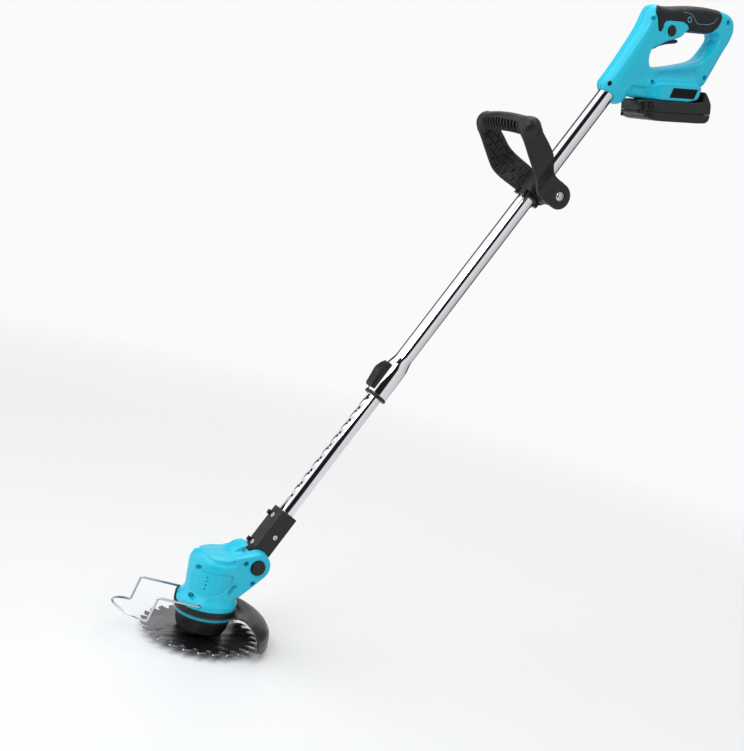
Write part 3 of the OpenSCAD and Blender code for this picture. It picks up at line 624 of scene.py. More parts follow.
GRIP = soften([
    (56, 139), (57, 127), (60.5, 121), (62.5, 115), (65.5, 108), (68.5, 94.5), (74, 94.5),
    (76.5, 106), (81, 109.5), (109, 110), (117.5, 106), (121, 100), (121, 88), (153, 88),
    (163, 101), (172, 108.5), (176, 118), (174.5, 127), (173, 139), (120, 139)], 1, 0.2)
BASE_PLAN = [(32, -12.5), (52, -13.5), (60, -16), (66, -21.5), (70, -26), (75, -29.3),
             (82, -30), (142, -30), (149, -26)]
BASE_PLAN = soften(BASE_PLAN + [(u, -v) for u, v in reversed(BASE_PLAN)], 1, 0.2)
BASE_SIDE = soften([(33, 12), (44, 9), (54, 6.6), (70, 5.5), (139, 5.5), (149, 24), (144, 28.5),
                    (120, 30), (84, 29.6), (60, 27), (40, 23)], 1, 0.2)
LEDGE = [(34, -6), (34, 22), (69, 22.6), (76, 14), (76, -6)]
THUMB_AT = (90, 96)
THUMB_R = 6.8
THUMB_BOSS = (9.6, 17.9)
SOCKET_R = 11.7
BASE_FLOOR = 5.5
HANDLE_SCREWS = [(59.5, 109), (188.5, 114), (67, 28), (159, 39), (0, 22.5)]
SEAM = 0.06
HEAD_SEAM = SEAM * 0.8


def frame_face(x, z):
    """Half width of the frame's side face at a point of its outline."""
    u, v = np.float32(x), np.float32(z)
    outer = max(FRAME_EDGE + float(outline(u, v, FRAME_RIM)), 0) / FRAME_EDGE
    inner = max(OPENING_EDGE - float(outline(u, v, OPENING)), 0) / OPENING_EDGE
    return FRAME_HALF * max(1 - max(outer, inner) ** FRAME_POWER, 0) ** (1 / FRAME_POWER)


def rear_handle():
    g, x, y, z = grid([-10, -34, -10], [209, 34, 135], 0.9)
    side = np.abs(y)
    # The column rounds over more widely towards the nose
    low = np.clip((95 - z) / 70, 0, 1) * np.clip((80 - x) / 40, 0, 1)
    body = plate(outline(x, z, FRAME_RIM), y, FRAME_HALF, FRAME_EDGE + 6 * low, FRAME_POWER)
    ring = plate(-outline(x, z, OPENING), y, FRAME_HALF, OPENING_EDGE, FRAME_POWER)
    body = both(body, ring)
    body = cut(body, both(outline(x, z, LEDGE), 12.6 - side), 1.2)
    base = both(outline(x, y, BASE_PLAN), outline(x, z, BASE_SIDE), 3.5)
    body = join(body, base, 7)
    boss_r, boss_half = THUMB_BOSS
    body = join(body, rod(x, z, y, THUMB_AT, boss_r, -boss_half, boss_half), 1.6)
    body = cut(body, block(x, y, z, (52, -40, -12), (160, 40, BASE_FLOOR)), 0.4)
    # Scooped side between the opening and the base
    scoop = stroke(x, z, [(80, 38), (140, 44)])
    body = body + 1.1 * np.exp(-(scoop / 7) ** 2) * (side > 4)
    # Socket of the upper tube
    away = x * LEAN[1] - z * LEAN[0]
    along = x * LEAN[0] + z * LEAN[1]
    body = cut(body, both(np.hypot(away, y) - SOCKET_R, along - 43), 0.5)
    # Channel for the battery's rail, its grooves and the contacts above it
    body = cut(body, block(x, y, z, (69.5, -20.4, -12), (157, 20.4, 14.4)))
    body = cut(body, block(x, y, z, (73.5, -23.4, 8.2), (157, 23.4, 11.6)))
    body = cut(body, block(x, y, z, (69.8, -16.2, 14), (92.2, 16.2, 20.6)))
    # Room for the trigger, the lock-off button and the screws
    slot = outline(x, z, [(71.5, 60), (116, 76), (116, 92), (71.5, 90)])
    body = cut(body, both(slot, side - 6.6))
    body = cut(body, rod(x, z, y, THUMB_AT, THUMB_R + 0.35, -30, 30), 0.5)
    for at in HANDLE_SCREWS:
        body = cut(body, rod(x, z, y, at, 3.1, -40, -12), 0.5)
    # The shell's cap over the column curves back towards the middle of the grip
    cap = np.minimum((60 + 0.9 * (FRAME_HALF - side) - x) * 0.74, z - 113)
    inside = both(outline(x, z, GRIP), cap)
    shell = cut(body, inside - 0.35, 0.3)
    for half, side in (("left", y + SEAM), ("right", SEAM - y)):
        skin("rear_handle_" + half, both(shell, side), g, HANDLE, CYAN, "handle",
             "handle_shell_" + half)
    skin("rear_soft_grip", both(body - 0.4, inside, 0.6), g, HANDLE, RUBBER, "handle",
         "soft_grip")


rear_handle()


def grip_ornament():
    """The thin line and the plain ring let into both sides of the grip."""
    line = [(106.4, 121.3), (119.7, 120.7), (125.8, 116.1), (132.5, 108.2), (153.9, 108.9),
            (163.9, 113.3), (166.4, 119.4)]
    line = round_path(line, 4)
    ring = [(118.4 + 3.1 * math.cos(a), 112.6 + 3.6 * math.sin(a))
            for a in np.arange(24) * 2 * PI / 24]
    for name, sign in (("left", -1), ("right", 1)):
        def on_face(pts):
            return [(u, sign * (frame_face(u, v) + 0.35), v) for u, v in pts]
        wire("grip_line_" + name, on_face(line), 0.42, HANDLE, INK, "handle")
        wire("grip_ring_" + name, on_face(ring), 0.62, HANDLE, CYAN, "handle",
             closed=True)


grip_ornament()


def trigger():
    g, x, y, z = grid([68, -11, 66], [120, 11, 91], 0.45)
    rim = outline(x, z, soften([
        (74, 70.5), (82, 75), (96, 78.8), (114, 81), (114, 86), (105, 86.8), (96, 86), (86, 84),
        (79, 83), (74, 80.5), (72.5, 74)], 1, 0.2))
    body = plate(rim, y, 6, 2.2)
    body = join(body, rod(x, z, y, (77, 79), 1.8, -9, 9))
    skin("trigger_lever", body, g, HANDLE, BLACK, "trigger_body", "trigger")


trigger()

THUMB = Place(HANDLE.origin + THUMB_AT[0] * HANDLE.x + THUMB_AT[1] * HANDLE.z,
              HANDLE.x, [0, -1, 0])
lathe("thumb_lock", [(0, -16.5), (THUMB_R, -16.5), (THUMB_R, 18.6), (5, 19.4), (3.6, 19.1),
                     (0, 18.9)], THUMB, BLACK, "lock_off", "lock_off_button",
      segments=96, radius=0.7)


# ---- battery
PACK_PLAN = [(46, -15), (52, -22), (62, -28), (72, -31), (164, -31), (168.5, -27), (170, 0)]
PACK_PLAN = soften(PACK_PLAN + [(u, -v) for u, v in reversed(PACK_PLAN[:-1])], 1, 0.2)
PACK_SIDE = soften([
    (49.5, -13.5), (57, -15), (63, -20), (74, -22), (158, -22), (164, -19), (169, -10),
    (169.5, -4), (165, 6), (159, 14.5), (153.5, 20), (150.5, 20), (150.5, 5), (48, 5),
    (46, 3), (46, -4), (49.5, -5.5)], 1, 0.15)
PACK_SPLIT = -10.0


def battery():
    g, x, y, z = grid([43, -35, -25], [174, 35, 23], 0.75)
    side = np.abs(y)
    pack = both(outline(x, y, PACK_PLAN), outline(x, z, PACK_SIDE), 3.0)
    # Upright ribs where the flanks start to narrow, and a shallow panel on each flank
    for at, r in (((56.6, 24.4), 1.5), ((65.4, 28.6), 1.5), ((60.9, 26.7), 0.9)):
        rib = np.hypot(x - at[0], side - at[1]) - r
        pack = join(pack, both(rib, np.abs(z + 9) - 10), 0.8)
    panel = both(np.abs(x - 118) - 38, np.abs(z + 9) - 9, 4)
    pack = cut(pack, both(panel, 30.5 - side), 0.6)
    pack = cut(pack, block(x, y, z, (162.2, -8.5, -14.4), (180, 8.5, 0.4)))
    top = both(pack, PACK_SPLIT + 0.16 - z)
    tray = both(pack, z - PACK_SPLIT + 0.16)
    rail = both(outline(x, z, [(70, 2), (71, 14), (150, 14), (150, 2)]), side - 20, 0.6)
    rail = join(rail, block(x, y, z, (74, -23, 8.6), (150, 23, 11.2)))
    rail = cut(rail, block(x, side, z, (60, 7, 6), (89, 9, 20)))
    skin("battery_upper_case", join(top, rail), g, HANDLE, BATTERY, "battery",
         "battery_top")
    skin("battery_lower_case", tray, g, HANDLE, BATTERY, "battery", "battery_tray")


battery()


def battery_button():
    g, x, y, z = grid([163, -9, -15], [173.5, 9, 1], 0.3)
    key = both(both(np.abs(x - 168.5) - 3.5, np.abs(y) - 8, 1.2), np.abs(z + 7) - 6.9, 1.2)
    for at in (-10.5, -7, -3.5):
        key = cut(key, np.hypot(x - 172.4, z - at) - 0.9, 0.3)
    skin("battery_key", key, g, HANDLE, CHARCOAL, "battery_button", "battery_release")


battery_button()


# ---- loop handle
BOLT_X = 25.0
BOLT_HOLE = 3.2
BAR_LZ = LOOP_AT + 21
BAR_R = 12.0
BAR_HALF = 50.0
BAR_REACH = 96.0
BAR_BOW = 6
BAR_CENTRE = -BAR_REACH + (BAR_HALF**2 + BAR_BOW**2) / (2 * BAR_BOW)
CORNER_X = -90.0
EAR_R = 17.5
LEG_SIDE = soften([
    (29, 600.1), (21, 633.9), (2, 631.5), (-33, 636), (-60, 644), (-98, 651), (-98, 625),
    (-60, 608), (-33, 597), (0, 595)], 2, 0.2)
SLOTS_FACE = (0.25, -0.97)
BRICK_W, BRICK_H, BRICK_GAP = 11, 9, 0.65
SLOTS, SLOT_PITCH = 12, 6.4


def leg_half(x):
    """Half the gap between the legs; they spread smoothly from the clamp to the bar."""
    u = np.clip((4 - x) / 50, 0, 1)
    return 17.5 + 29 * u * u * (3 - 2 * u)


def loop_handle():
    g, x, y, z = grid([-112, -69, 592], [45, 69, 660], 0.75)
    side = np.abs(y)
    inner = leg_half(x)
    strap = np.abs(side - inner - 3.5) - 3.5
    ear = np.hypot(x - BOLT_X, z - LOOP_AT) - EAR_R
    flank = join(outline(x, z, LEG_SIDE), ear, 4)
    legs = both(strap, flank, 4)
    # Brick-like pads on the inner faces
    middle = 615 - np.clip(x, -60, 10) * 0.16
    row = np.floor((z - middle + 18) / BRICK_H)
    bricks = np.abs((x + BRICK_W / 2 * row) % BRICK_W - BRICK_W / 2) - BRICK_GAP
    rows = BRICK_H / 2 - np.abs((z - middle + 18) % BRICK_H - BRICK_H / 2) - BRICK_GAP
    pads = both(np.minimum(bricks, rows), side - inner - 1.5)
    pads = both(pads, np.abs(x + 40) - 40)
    legs = cut(legs, pads, 0.4)
    q = np.hypot(x - BAR_CENTRE, y) - (BAR_CENTRE + BAR_REACH)
    lift = z - BAR_LZ
    radial = np.hypot(q, lift)
    bar = both(radial - BAR_R, side - BAR_HALF)
    knob = np.sqrt((x - CORNER_X) ** 2 + (side - BAR_HALF) ** 2 + lift**2) - BAR_R - 0.2
    body = join(join(bar, knob, 2), legs, 8)
    ringed = both(np.abs(side - 41) - 0.9, BAR_R - 1.1 - radial)
    body = cut(body, both(ringed, x + 70), 0.7)
    facing = (q * SLOTS_FACE[0] + lift * SLOTS_FACE[1]) - radial * math.cos(math.radians(58))
    for k in range(SLOTS):
        at = (k - (SLOTS - 1) / 2) * SLOT_PITCH
        notch = both(both(np.abs(y - at) - 1.8, 8.2 - radial), -facing)
        body = cut(body, both(notch, radial - 16), 0.4)
    body = cut(body, rod(x, z, y, (BOLT_X, LOOP_AT), BOLT_HOLE, -40, 40))
    body = cut(body, rod(x, z, y, (BOLT_X, LOOP_AT), 7.2, -40, -20.5), 0.6)
    hexagon = both(np.abs(x - BOLT_X),
                   np.abs((x - BOLT_X) * 0.5) + np.abs(z - LOOP_AT) * 0.866) - 5.3
    body = cut(body, both(hexagon, 20.5 - y))
    skin("loop_grip", body, g, LOOP, CHARCOAL, "loop", "loop_handle")


loop_handle()


def screw_head(name, place, r, height, body, step):
    """A domed cross-head that stands on the place's origin, +Z outwards."""
    g, x, y, z = grid([-r - 1, -r - 1, -1], [r + 1, r + 1, height + 1], step)
    out = np.hypot(x, y)
    ball = (r * r + height * height) / (2 * height)
    head = both(np.sqrt(out**2 + (z - height + ball) ** 2) - ball, out - r, 0.5)
    head = both(head, -z)
    cross = np.minimum(both(np.abs(x) - 0.13 * r - 0.2, np.abs(y) - 0.6 * r),
                       both(np.abs(y) - 0.13 * r - 0.2, np.abs(x) - 0.6 * r))
    head = cut(head, both(cross, 0.35 * height - z), 0.2)
    skin(name, head, g, place, SCREW, body, rounds=1)


LOOP_LEFT = Place(LOOP.at(BOLT_X, -22.4, LOOP_AT) / MM, LOOP.x, -LOOP.y)
screw_head("loop_bolt_head", LOOP_LEFT, 6, 2.8, "loop", 0.3)


def clamp_saddle():
    g, x, y, z = grid([-20, -20, 588], [43, 20, 635], 0.6)
    ring = both(np.hypot(x, y) - 17, np.abs(z - 610) - 15)
    web = block(x, y, z, (0, -17, 602), (BOLT_X, 17, 625))
    boss = rod(x, z, y, (BOLT_X, LOOP_AT), 14, -17, 17)
    body = join(join(ring, web, 1), boss, 2)
    body = both(body, np.abs(y) - 17, 1)
    body = cut(body, np.hypot(x, y) - 13.95, 0.4)
    body = cut(body, block(x, y, z, (10, -1.5, 560), (70, 1.5, 660)), 0.4)
    body = cut(body, rod(x, z, y, (BOLT_X, LOOP_AT), BOLT_HOLE, -30, 30))
    skin("saddle", body, g, LOOP, CHARCOAL, "loop_clamp", "clamp_saddle")


clamp_saddle()


def loop_liner():
    g, x, y, z = grid([-20, -20, 585], [20, 20, 628], 0.6)
    out = np.hypot(x, y)
    body = both(out - 13.8, np.abs(z - 608) - 18)
    body = join(body, both(out - 15, np.abs(z - 591) - 1))
    for a in (25, 155, 205, 335):
        c, s = math.cos(math.radians(a)), math.sin(math.radians(a))
        lug = block(x * c + y * s, y * c - x * s, z, (13, -4, 587), (18, 4, 594))
        body = join(body, lug, 0.5)
    body = cut(body, out - 11.6, 0.3)
    skin("liner", body, g, LOOP, BLACK, "loop_sleeve", "loop_liner")


loop_liner()


# ---- cutting head
HEAD_RIM = soften([
    (-12, 46), (38, 46), (38, 53.5), (35.8, 56.2), (32.8, 59.8), (31, 66), (33.1, 98),
    (31.9, 104), (28.6, 110.5), (20, 115.2), (-12, 116)], 1, 0.15)
HEAD_CAVITY = [(-12, 50), (27.5, 50), (27.5, 103), (24, 109), (-12, 111.5)]
TILT = (float(PIVOT[0]), float(PIVOT[2]))
CHEEK_R = 20
CHEEK = soften(
    [(-4, 62), (24, 57), (36, 66.4)]
    + [(TILT[0] + CHEEK_R * math.cos(a), TILT[1] + CHEEK_R * math.sin(a))
       for a in np.radians(np.linspace(-46, 104, 14))]
    + [(34, 122), (22, 119), (8, 115), (-4, 113.5)], 1, 0.2)
HOOK = soften([(0, 111), (9, 116), (22, 127.5), (33, 130.8), (34.5, 128.5), (28, 122),
               (26, 112)], 1, 0.15)
SWEEP = [(32.6, 107.4), (44.8, 176.3), (116, 175), (116, 91.4), (46, 91.4)]
PANEL = soften([
    (-29.7, 93.9), (-26.6, 93.8), (-16.9, 94), (-2.2, 94.9), (8.6, 93.9), (14.6, 91.4),
    (15.4, 87), (12.6, 80), (8.8, 75.2), (-2.6, 66.5), (-13.7, 62.6), (-22.8, 62.7),
    (-29, 63.5)], 1, 0.2)
SCOOPS = [
    [(-24, 114), (-18.5, 109.8), (-7.3, 108.2), (3, 108.4), (13, 110)],
    [(-21, 110.5), (-11.7, 106.6), (0.8, 105.6), (13.2, 107.5)]]
VENTS = [[(11.8, 72.3), (18.8, 81.1)], [(13.8, 69.5), (22.6, 79.6)]]
DOTS = [(-17.6, 87.8), (-17.6, 83), (-17.6, 78), (-17.6, 72.9)]
HEAD_SCREWS = [(-27.5, 97, -11), (-28, 59.5, -10), (29.4, 109, -20), (44.4, 84, -20)]
WIRE_ROOT = (-22, 52)


def cutting_head():
    g, x, y, z = grid([-42, -42, 44], [69, 42, 131], 0.6)
    side = np.abs(y)
    out = np.hypot(x, y)
    body = outline(out, z, HEAD_RIM)
    body = join(body, plate(outline(x, z, CHEEK), y, 27, 4, 2.3), 4)
    body = join(body, plate(outline(x, z, HOOK), y, 13, 3, 2.3), 2.2)
    # Foot rim kept crisp below the blend
    body = join(body, both(out - 38, np.abs(z - 49.8) - 3.8, 1.2), 1)
    # Shallow panel, scoops, vents and dots on both sides
    inside = outline(x, z, PANEL)
    flank = np.clip((side - 6) / 8, 0, 1)
    body = body + 0.6 * np.clip(0.5 - inside, 0, 1) * flank
    body = body + 0.8 * np.exp(-(inside / 0.75) ** 2) * flank
    for line in SCOOPS:
        body = body + 0.9 * np.exp(-(stroke(x, z, line) / 1.7) ** 2) * flank
    for line in VENTS:
        body = cut(body, both(stroke(x, z, line) - 0.8, 23 - side), 0.2)
    for at in DOTS:
        dot = np.hypot(x - at[0], z - at[1]) - 0.95
        body = cut(body, both(dot, 21.5 - side), 0.2)
    body = cut(body, outline(out, z, HEAD_CAVITY))
    sweep = join(outline(x, z, SWEEP), np.hypot(x - TILT[0], z - TILT[1]) - 13.6)
    body = cut(body, both(sweep, side - 13.3), 0.4)
    body = cut(body, rod(x, z, y, TILT, 6.1, -26, 24.6))
    body = cut(body, rod(x, z, y, TILT, 9.3, -40, -22), 0.5)
    for u, v, floor in HEAD_SCREWS:
        body = cut(body, rod(x, z, y, (u, v), 3.05, -40, floor - 2), 0.4)
    for lo, hi in ((-45, -24), (24, 45)):
        body = cut(body, rod(x, z, y, WIRE_ROOT, 1.75, lo, hi), 0.3)
    for half, side in (("left", y + HEAD_SEAM), ("right", HEAD_SEAM - y)):
        skin("head_cover_" + half, both(body, side), g, BASE, CYAN, "cutting_head",
             "head_shell_" + half)


cutting_head()

BUTTON = Place([TILT[0], 0, TILT[1]], [1, 0, 0], [0, -1, 0])
lathe("tilt_knob", [(0, -9), (4, -9), (4, 25.5), (9, 25.5), (9, 29.9), (8.3, 30.5), (7.4, 30.5),
                    (7, 30.1), (0, 30.4)], BUTTON, BLACK, "tilt_button", "pivot_button",
      segments=96, radius=0.35)

lathe("hub_bowl", [(18, 12), (28, 12), (30.5, 14.5), (32.6, 20), (34.2, 28), (35.2, 35), (11, 35),
                   (11, 25), (9.5, 25), (9.5, 23.5), (14, 23.5), (14, 32), (31.8, 32), (30, 24),
                   (28.2, 16.5), (27, 14.5), (18, 14.5)], BASE, BLACK, "cutting_head",
      "hub_skirt", segments=160, radius=0.7)
lathe("trim_ring", [(18, 35), (35.3, 35), (35.3, 33.9), (37.3, 33.9), (37.3, 38), (18, 38)],
      BASE, RING_CYAN, "cutting_head", "collar_ring", 160, 0.5)
lathe("foot_band", [(14, 40.5), (39.4, 40.5), (39.4, 46), (14, 46)], BASE, BLACK,
      "cutting_head", "collar_band", segments=160, radius=0.7)
lathe("foot_band_lip", [(38.2, 41.5), (39.3, 41.5), (40.2, 46), (40.2, 54), (39.6, 55.4),
                        (38.2, 55.4)], BASE, BLACK, "cutting_head", segments=24,
      start=math.radians(132), sweep=math.radians(34))


GUARD_MIDDLE, GUARD_HALF = -11, 45


def blade_guard():
    g, x, y, z = grid([15, -78, 6], [90, 54, 48], 0.6)
    out = np.hypot(x, y)
    turn = np.degrees(np.arctan2(y, x))
    section = outline(out, z, soften([
        (37, 38.5), (40, 38), (41, 38), (48, 41.3), (60, 42.2), (69, 38.5), (78.3, 32.2),
        (83.9, 24.8), (85.6, 17.5), (85.6, 8), (88, 8), (88, 18.5), (86.2, 26), (80, 34),
        (70, 40.7), (60, 44.6), (48, 43.7), (41, 40.3), (37, 39.9)], 1, 0.15))
    across = (np.abs(turn - GUARD_MIDDLE) - GUARD_HALF) * PI / 180 * out
    hood = both(section, across, 1.2)
    # Rounded lower corners of the skirt
    hood = both(hood, both(across, 8 - z, 14))
    # Stiffening bead along the rim
    rim = np.hypot(out - 87.2, z - 9.2) - 1.3
    hood = join(hood, both(rim, across + 12), 0.8)
    skin("guard_hood", hood, g, BASE, GREY, "cutting_head", "blade_guard")


blade_guard()
lathe("guard_ring", [(18, 38), (38.5, 38), (38.5, 40.5), (18, 40.5)], BASE, GREY,
      "cutting_head")


# ---- blade
BLADE_R = 75.0
TEETH = 26
BLADE_Z = 8.2
BLADE_T = 1.6
FLAT = Place([0, 0, 0], [1, 0, 0], [0, 1, 0])


def polar(r, a):
    return (r * math.cos(math.radians(a)), r * math.sin(math.radians(a)))


def saw_blade():
    pitch = 360 / TEETH
    root = BLADE_R - 10.5
    rim = []
    for i in range(TEETH):
        for r, part in ((BLADE_R - 0.6, 0.03), (BLADE_R - 3, 0.42), (BLADE_R - 7, 0.52),
                        (root, 0.62), (root - 0.6, 0.78), (root + 1.6, 0.9),
                        (BLADE_R - 6.5, 0.97), (BLADE_R - 1.2, 1.0)):
            rim.append(polar(r, (i + part) * pitch))
    rings = [rim, [polar(4.0, a) for a in np.arange(0, 360, 7.5)]]
    for k in range(4):
        base = (round(k * TEETH / 4) + 0.7) * pitch
        start = np.array(polar(BLADE_R - 13, base))
        away = np.array(polar(1, base + 180 + 24))
        flank = np.array([-away[1], away[0]])
        end = start + away * 12
        slot = [start + flank * 0.5, end + flank * 0.5]
        for a in np.linspace(0.45, 2 * PI - 0.45, 12):
            slot.append(end + 1.2 * (away * -math.cos(a) + flank * math.sin(a)) + away * 1.2)
        slot += [end - flank * 0.5, start - flank * 0.5]
        rings.append(slot)
    prism("saw_blade", rings, FLAT, -(BLADE_Z + BLADE_T), -BLADE_Z, 0.1, BLADE,
          "blade_drive", "blade")


saw_blade()


# ---- wire guard
def wire_guard():
    dip = math.radians(13)
    half = 33.3
    bend_x, bend_z = -85.4, 31
    arc = []
    for a in np.radians(np.linspace(90, 270, 37)):
        u = half * math.cos(a) * 1.03
        arc.append((bend_x + u * math.cos(dip), half * math.sin(a), bend_z - u * math.sin(dip)))
    arc.reverse()
    near = [(WIRE_ROOT[0], -27, WIRE_ROOT[1]), (WIRE_ROOT[0], -half, WIRE_ROOT[1]),
            (-78, -half, 61.3), (bend_x, -half, bend_z), arc[3]]
    first = round_path(near, 3.2)
    last = [(p[0], -p[1], p[2]) for p in reversed(first)]
    wire("grass_wire", first + arc[4:-4] + last, 1.5, BASE, WIRE, "wire", "wire_guard",
         sides=16)


wire_guard()


# ---- bracket and tubes
BRACKET_SCREWS = (21, 63)


def tube_bracket():
    g, x, y, z = grid([-19, -15, -15], [15, 15, 77], 0.5)
    box = both(both(np.abs(x) - 12.5, np.abs(y) - 13, 1.6), np.abs(z - 37.5) - 37.5, 1.0)
    eye = both(rod(x, z, y, (0, 0), 13, -20, 20), np.abs(y) - 13, 1.4)
    body = join(box, eye)
    for at in BRACKET_SCREWS:
        lug = both(block(x, y, z, (-16.5, 8.5, at - 3), (-10, 13, at + 3)), -16.4 - x, 0.8)
        body = join(body, lug, 0.4)
    # Shallow frame line along the near edge and a seat round each screw
    body = cut(body, both(np.abs(y + 10.4) - 0.35, x + 12.1), 0.2)
    body = cut(body, np.hypot(x, y) - 10.15, 0.4)
    body = cut(body, rod(x, z, y, (0, 0), 6.15, -20, 20))
    for at in BRACKET_SCREWS:
        body = cut(body, both(np.hypot(y, z - at) - 3.3, x + 12), 0.3)
    body = cut(body, both(np.hypot(x - 1, z - 42) - 3.3, y + 12.5), 0.3)
    skin("pole_bracket", body, g, TUBE, CHARCOAL, "lower_pole", "tube_bracket")


tube_bracket()
for name, spot, normal in (("a", (-12, 0, 21), -TUBE.x), ("b", (-12, 0, 63), -TUBE.x),
                           ("c", (1, -12.5, 42), -TUBE.y)):
    seat = Place(TUBE.at(*spot) / MM, TUBE.z, normal)
    screw_head("bracket_screw_head_" + name, seat, 3.1, 1.7, "lower_pole", 0.2)


def carve(obj, place, boxes):
    """Cuts boxes, given by their corners in the place's frame, out of a piece."""
    bm = bmesh.new()
    for lo, hi in boxes:
        made = bmesh.ops.create_cube(bm, size=1.0)["verts"]
        for v in made:
            local = [a + (b - a) * (c + 0.5) for a, b, c in zip(lo, hi, v.co)]
            v.co = place.at(*local)
    bmesh.ops.recalc_face_normals(bm, faces=bm.faces)
    mesh = bpy.data.meshes.new("cutter")
    bm.to_mesh(mesh)
    bm.free()
    cutter = add("cutter", mesh)
    mod = obj.modifiers.new("carve", "BOOLEAN")
    mod.object = cutter
    mod.solver = "EXACT"
    done = evaluated_mesh(obj)
    obj.modifiers.remove(mod)
    old, obj.data = obj.data, done
    bpy.data.meshes.remove(old)
    bpy.data.objects.remove(cutter)
    bpy.data.meshes.remove(mesh)


LOWER_R, UPPER_R, SWAGE_R = 10.0, 11.5, 14.7
SWAGE_AT = 264
NOTCH_AT, NOTCH_PITCH, NOTCH_HALF, NOTCH_FLOOR = 277, 20, 2, 8.7


def tubes():
    lower = lathe("lower_pole_tube", [(9, 16), (LOWER_R, 16), (LOWER_R, 400), (9, 400)], TUBE,
                  CHROME, "lower_pole", "lower_tube", radius=0.25)
    notches = [NOTCH_AT + NOTCH_PITCH * k for k in range(-9, 4)]
    carve(lower, TUBE, [((-12, -6, at - NOTCH_HALF), (-NOTCH_FLOOR, 6, at + NOTCH_HALF))
                        for at in notches])
    swell = SWAGE_R - UPPER_R
    neck = [(UPPER_R + swell * (0.5 + 0.5 * math.cos(PI * k / 10)), 305 + 2 * k)
            for k in range(11)]
    profile = [(13.5, SWAGE_AT), (SWAGE_R, SWAGE_AT)] + neck + [
        (UPPER_R, 800), (10.5, 800), (10.5, 325), (13.5, 303)]
    lathe("upper_pole_tube", profile, TUBE, CHROME, "handle", "upper_tube")
    lathe("sleeve_ring", [(10.1, 260), (14.8, 260), (15.5, 260.8), (15.5, 263.3),
                          (15, SWAGE_AT), (10.1, SWAGE_AT)], TUBE, BLACK, "handle",
          "lock_ring")


tubes()


def length_lock():
    g, x, y, z = grid([-20, -10, 265], [-8, 10, 308], 0.45)
    seat = both(both(np.abs(y) - 8, np.abs(z - 286.5) - 19.5, 2.0), np.abs(x + 14) - 4, 0.8)
    seat = cut(seat, np.hypot(x, y) - 14.75)
    seat = cut(seat, block(x, y, z, (-22, -4.2, 271), (-12, 4.2, 302)))
    skin("lock_seat", seat, g, TUBE, BLACK, "handle", "lock_housing")
    g, x, y, z = grid([-25, -10, 266], [-13, 10, 305], 0.4)
    rim = outline(x, z, soften([(-18.1, 268), (-19.6, 268), (-23.2, 290), (-22.8, 294),
                                (-19.4, 303), (-18.1, 303)], 1, 0.12))
    key = both(rim, np.abs(y) - 8, 1.2)
    for k in range(4):
        ridge = both(np.abs((z - 274 - 4 * k)) - 0.5, -0.7 - rim)
        key = cut(key, ridge, 0.2)
    key = join(key, block(x, y, z, (-18.2, -4, 283), (-15, 4, 291)))
    key = cut(key, block(x, y, z, (-19.35, -3.2, 270), (-16, 3.2, 283)))
    skin("lock_slide", key, g, TUBE, BLACK, "lock_lever", "lock_slider")


length_lock()


# ---- nodes kept from the CAD
KEPT = (
    (SCREW, ("bracket_screws", "hub_screws", "loop_bolt", "loop_nut", "blade_nut", "lock_pin",
             "pivot_spring")),
    (DARK_SCREW, ("head_screws", "handle_screws")),
    (CARBIDE, ("tooth_tips",)),
    (MACHINED, ("motor_can", "motor_rotor", "motor_plate", "spindle", "bearing_outer_race",
                "bearing_inner_race", "bearing_balls", "drive_flange", "blade_washer",
                "pivot_pin")),
    (BLACK, ("motor_end_cap", "tube_end_bush", "guide_bush", "terminal_block")),
    (CHARCOAL, ("switch_body",)),
    (BRONZE, ("motor_bushes",)),
    (MAGNET, ("motor_magnets", "motor_brushes")),
    (RED_WIRE, ("motor_leads",)),
    (BLACK_WIRE, ("lower_cable", "upper_cable")),
    (CELL, ("battery_cells",)),
    (CIRCUIT, ("battery_board",)),
    (LABEL, ("label_plates",)),
)
for material, names in KEPT:
    for name in names:
        paint(frame["nodes"][name], material)


# ---- studio
SEEN = srgb(250, 250, 251)
FADE_FROM, FADE_TO = 0.5, 2.2
FLOOR_DROP = 0.001


def floor():
    """A pale floor that fades out into the backdrop's shade, so that no horizon shows."""
    f = Finish("studio_floor", srgb(238, 239, 240), 0.55)
    f.vary(900, 0.05, srgb(226, 227, 229)).roughen(60, 0.04).grain(2, 0.01)
    material = f.done()
    away = f.node("VectorMath", operation="LENGTH")
    f.feed(away, f.place)
    fade = f.remap(away.outputs["Value"], FADE_FROM, FADE_TO)
    clear = f.node("BsdfTransparent").outputs[0]
    mixed = f.mix_shader(fade, f.bsdf.outputs[0], clear)
    f.put(mixed, f.tree.nodes["Material Output"].inputs["Surface"])
    mesh = bpy.data.meshes.new("studio_floor")
    bm = bmesh.new()
    bmesh.ops.create_circle(bm, cap_ends=True, segments=96, radius=9.0)
    bmesh.ops.translate(bm, verts=bm.verts, vec=(0, 0, -FLOOR_DROP))
    bm.to_mesh(mesh)
    bm.free()
    mesh.materials.append(material)
    add("studio_floor", mesh)


CAM_AT = Vector((-0.6490, -1.3330, 0.5877))
CAM_RIGHT = Vector((0.84816, -0.46860, 0.24705))
CAM_UP = Vector((-0.14284, 0.24677, 0.95849))
CAM_AHEAD = Vector((0.51011, 0.84824, -0.14236))


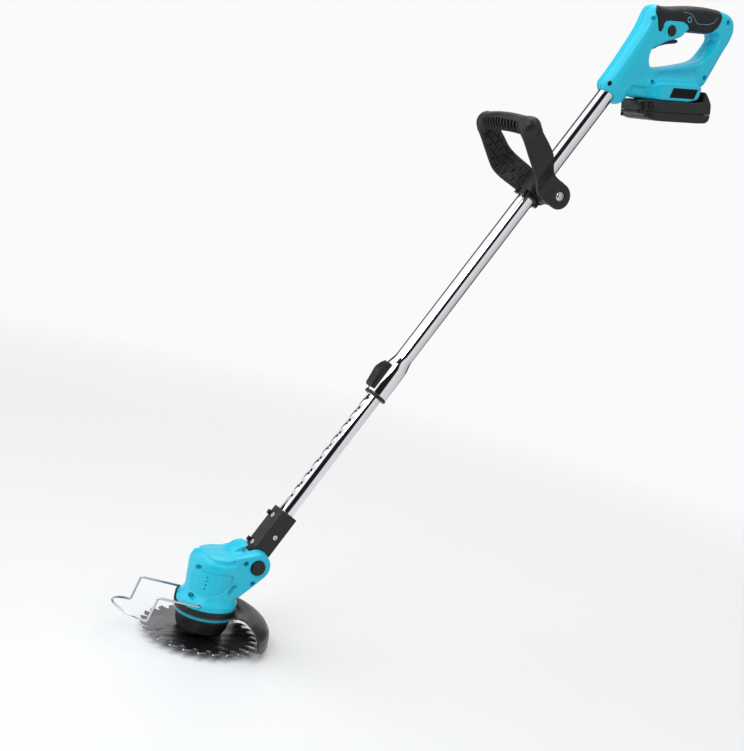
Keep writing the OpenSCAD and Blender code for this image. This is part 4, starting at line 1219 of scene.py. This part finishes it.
CARDS = [(-180, 0.7), (-158, 0.7), (-152, 0.03), (-128, 0.03), (-120, 1.3), (-38, 1.3),
         (-31, 0.015), (25, 0.015), (33, 0.95), (118, 0.55), (124, 0.03), (152, 0.03),
         (158, 0.7), (180, 0.7)]


def studio_world():
    """Pale to the eye; reflections see broad light cards with dark gaps between them.

    CARDS gives the brightness at angles round the object, 0 behind the camera.
    """
    world = bpy.data.worlds.new("studio")
    bpy.context.scene.world = world
    world.use_nodes = True
    w = Nodes(world.node_tree)
    w.tree.nodes.clear()
    direction = w.node("TexCoord").outputs["Generated"]
    back = Vector((-CAM_AHEAD.x, -CAM_AHEAD.y, 0)).normalized()
    right = Vector((-back.y, back.x, 0))
    turn = w.maths("ARCTAN2", w.dot(direction, right), w.dot(direction, back))
    ramp = w.node("ValToRGB")
    shade = w.feed(ramp, w.remap(turn, -PI, PI))
    points = ramp.color_ramp.elements
    while len(points) < len(CARDS):
        points.new(0.5)
    for point, (angle, level) in zip(points, CARDS):
        point.position = (angle + 180) / 360
        point.color = (level, level, level, 1)
    cards = w.feed(w.node("Background"), shade)
    seen = w.feed(w.node("Background"), SEEN)
    to_camera = w.node("LightPath").outputs["Is Camera Ray"]
    output = w.node("OutputWorld")
    w.put(w.mix_shader(to_camera, cards, seen), output.inputs[0])


def softbox(name, at, aim, size, power):
    light = bpy.data.lights.new(name, "AREA")
    light.shape = "RECTANGLE"
    light.size, light.size_y = size
    light.energy = power
    obj = add(name, light)
    obj.location = at
    obj.rotation_euler = (Vector(aim) - Vector(at)).to_track_quat("-Z", "Y").to_euler()


def camera():
    data = bpy.data.cameras.new("camera")
    data.lens = 59.03
    data.sensor_width = 36
    data.clip_end = 60
    obj = add("camera", data)
    columns = (CAM_RIGHT, CAM_UP, -CAM_AHEAD, CAM_AT)
    obj.matrix_world = Matrix([[c[i] for c in columns] for i in range(3)] + [[0, 0, 0, 1]])
    bpy.context.scene.camera = obj


floor()
studio_world()
softbox("key_light", (-1.5, -1.3, 2.0), (0.2, 0, 0.45), (1.2, 1.2), 26)
softbox("top_light", (0.4, 0.3, 2.4), (0.25, 0, 0.4), (1.6, 1.6), 22)
camera()
bpy.context.scene.view_settings.view_transform = "Standard"
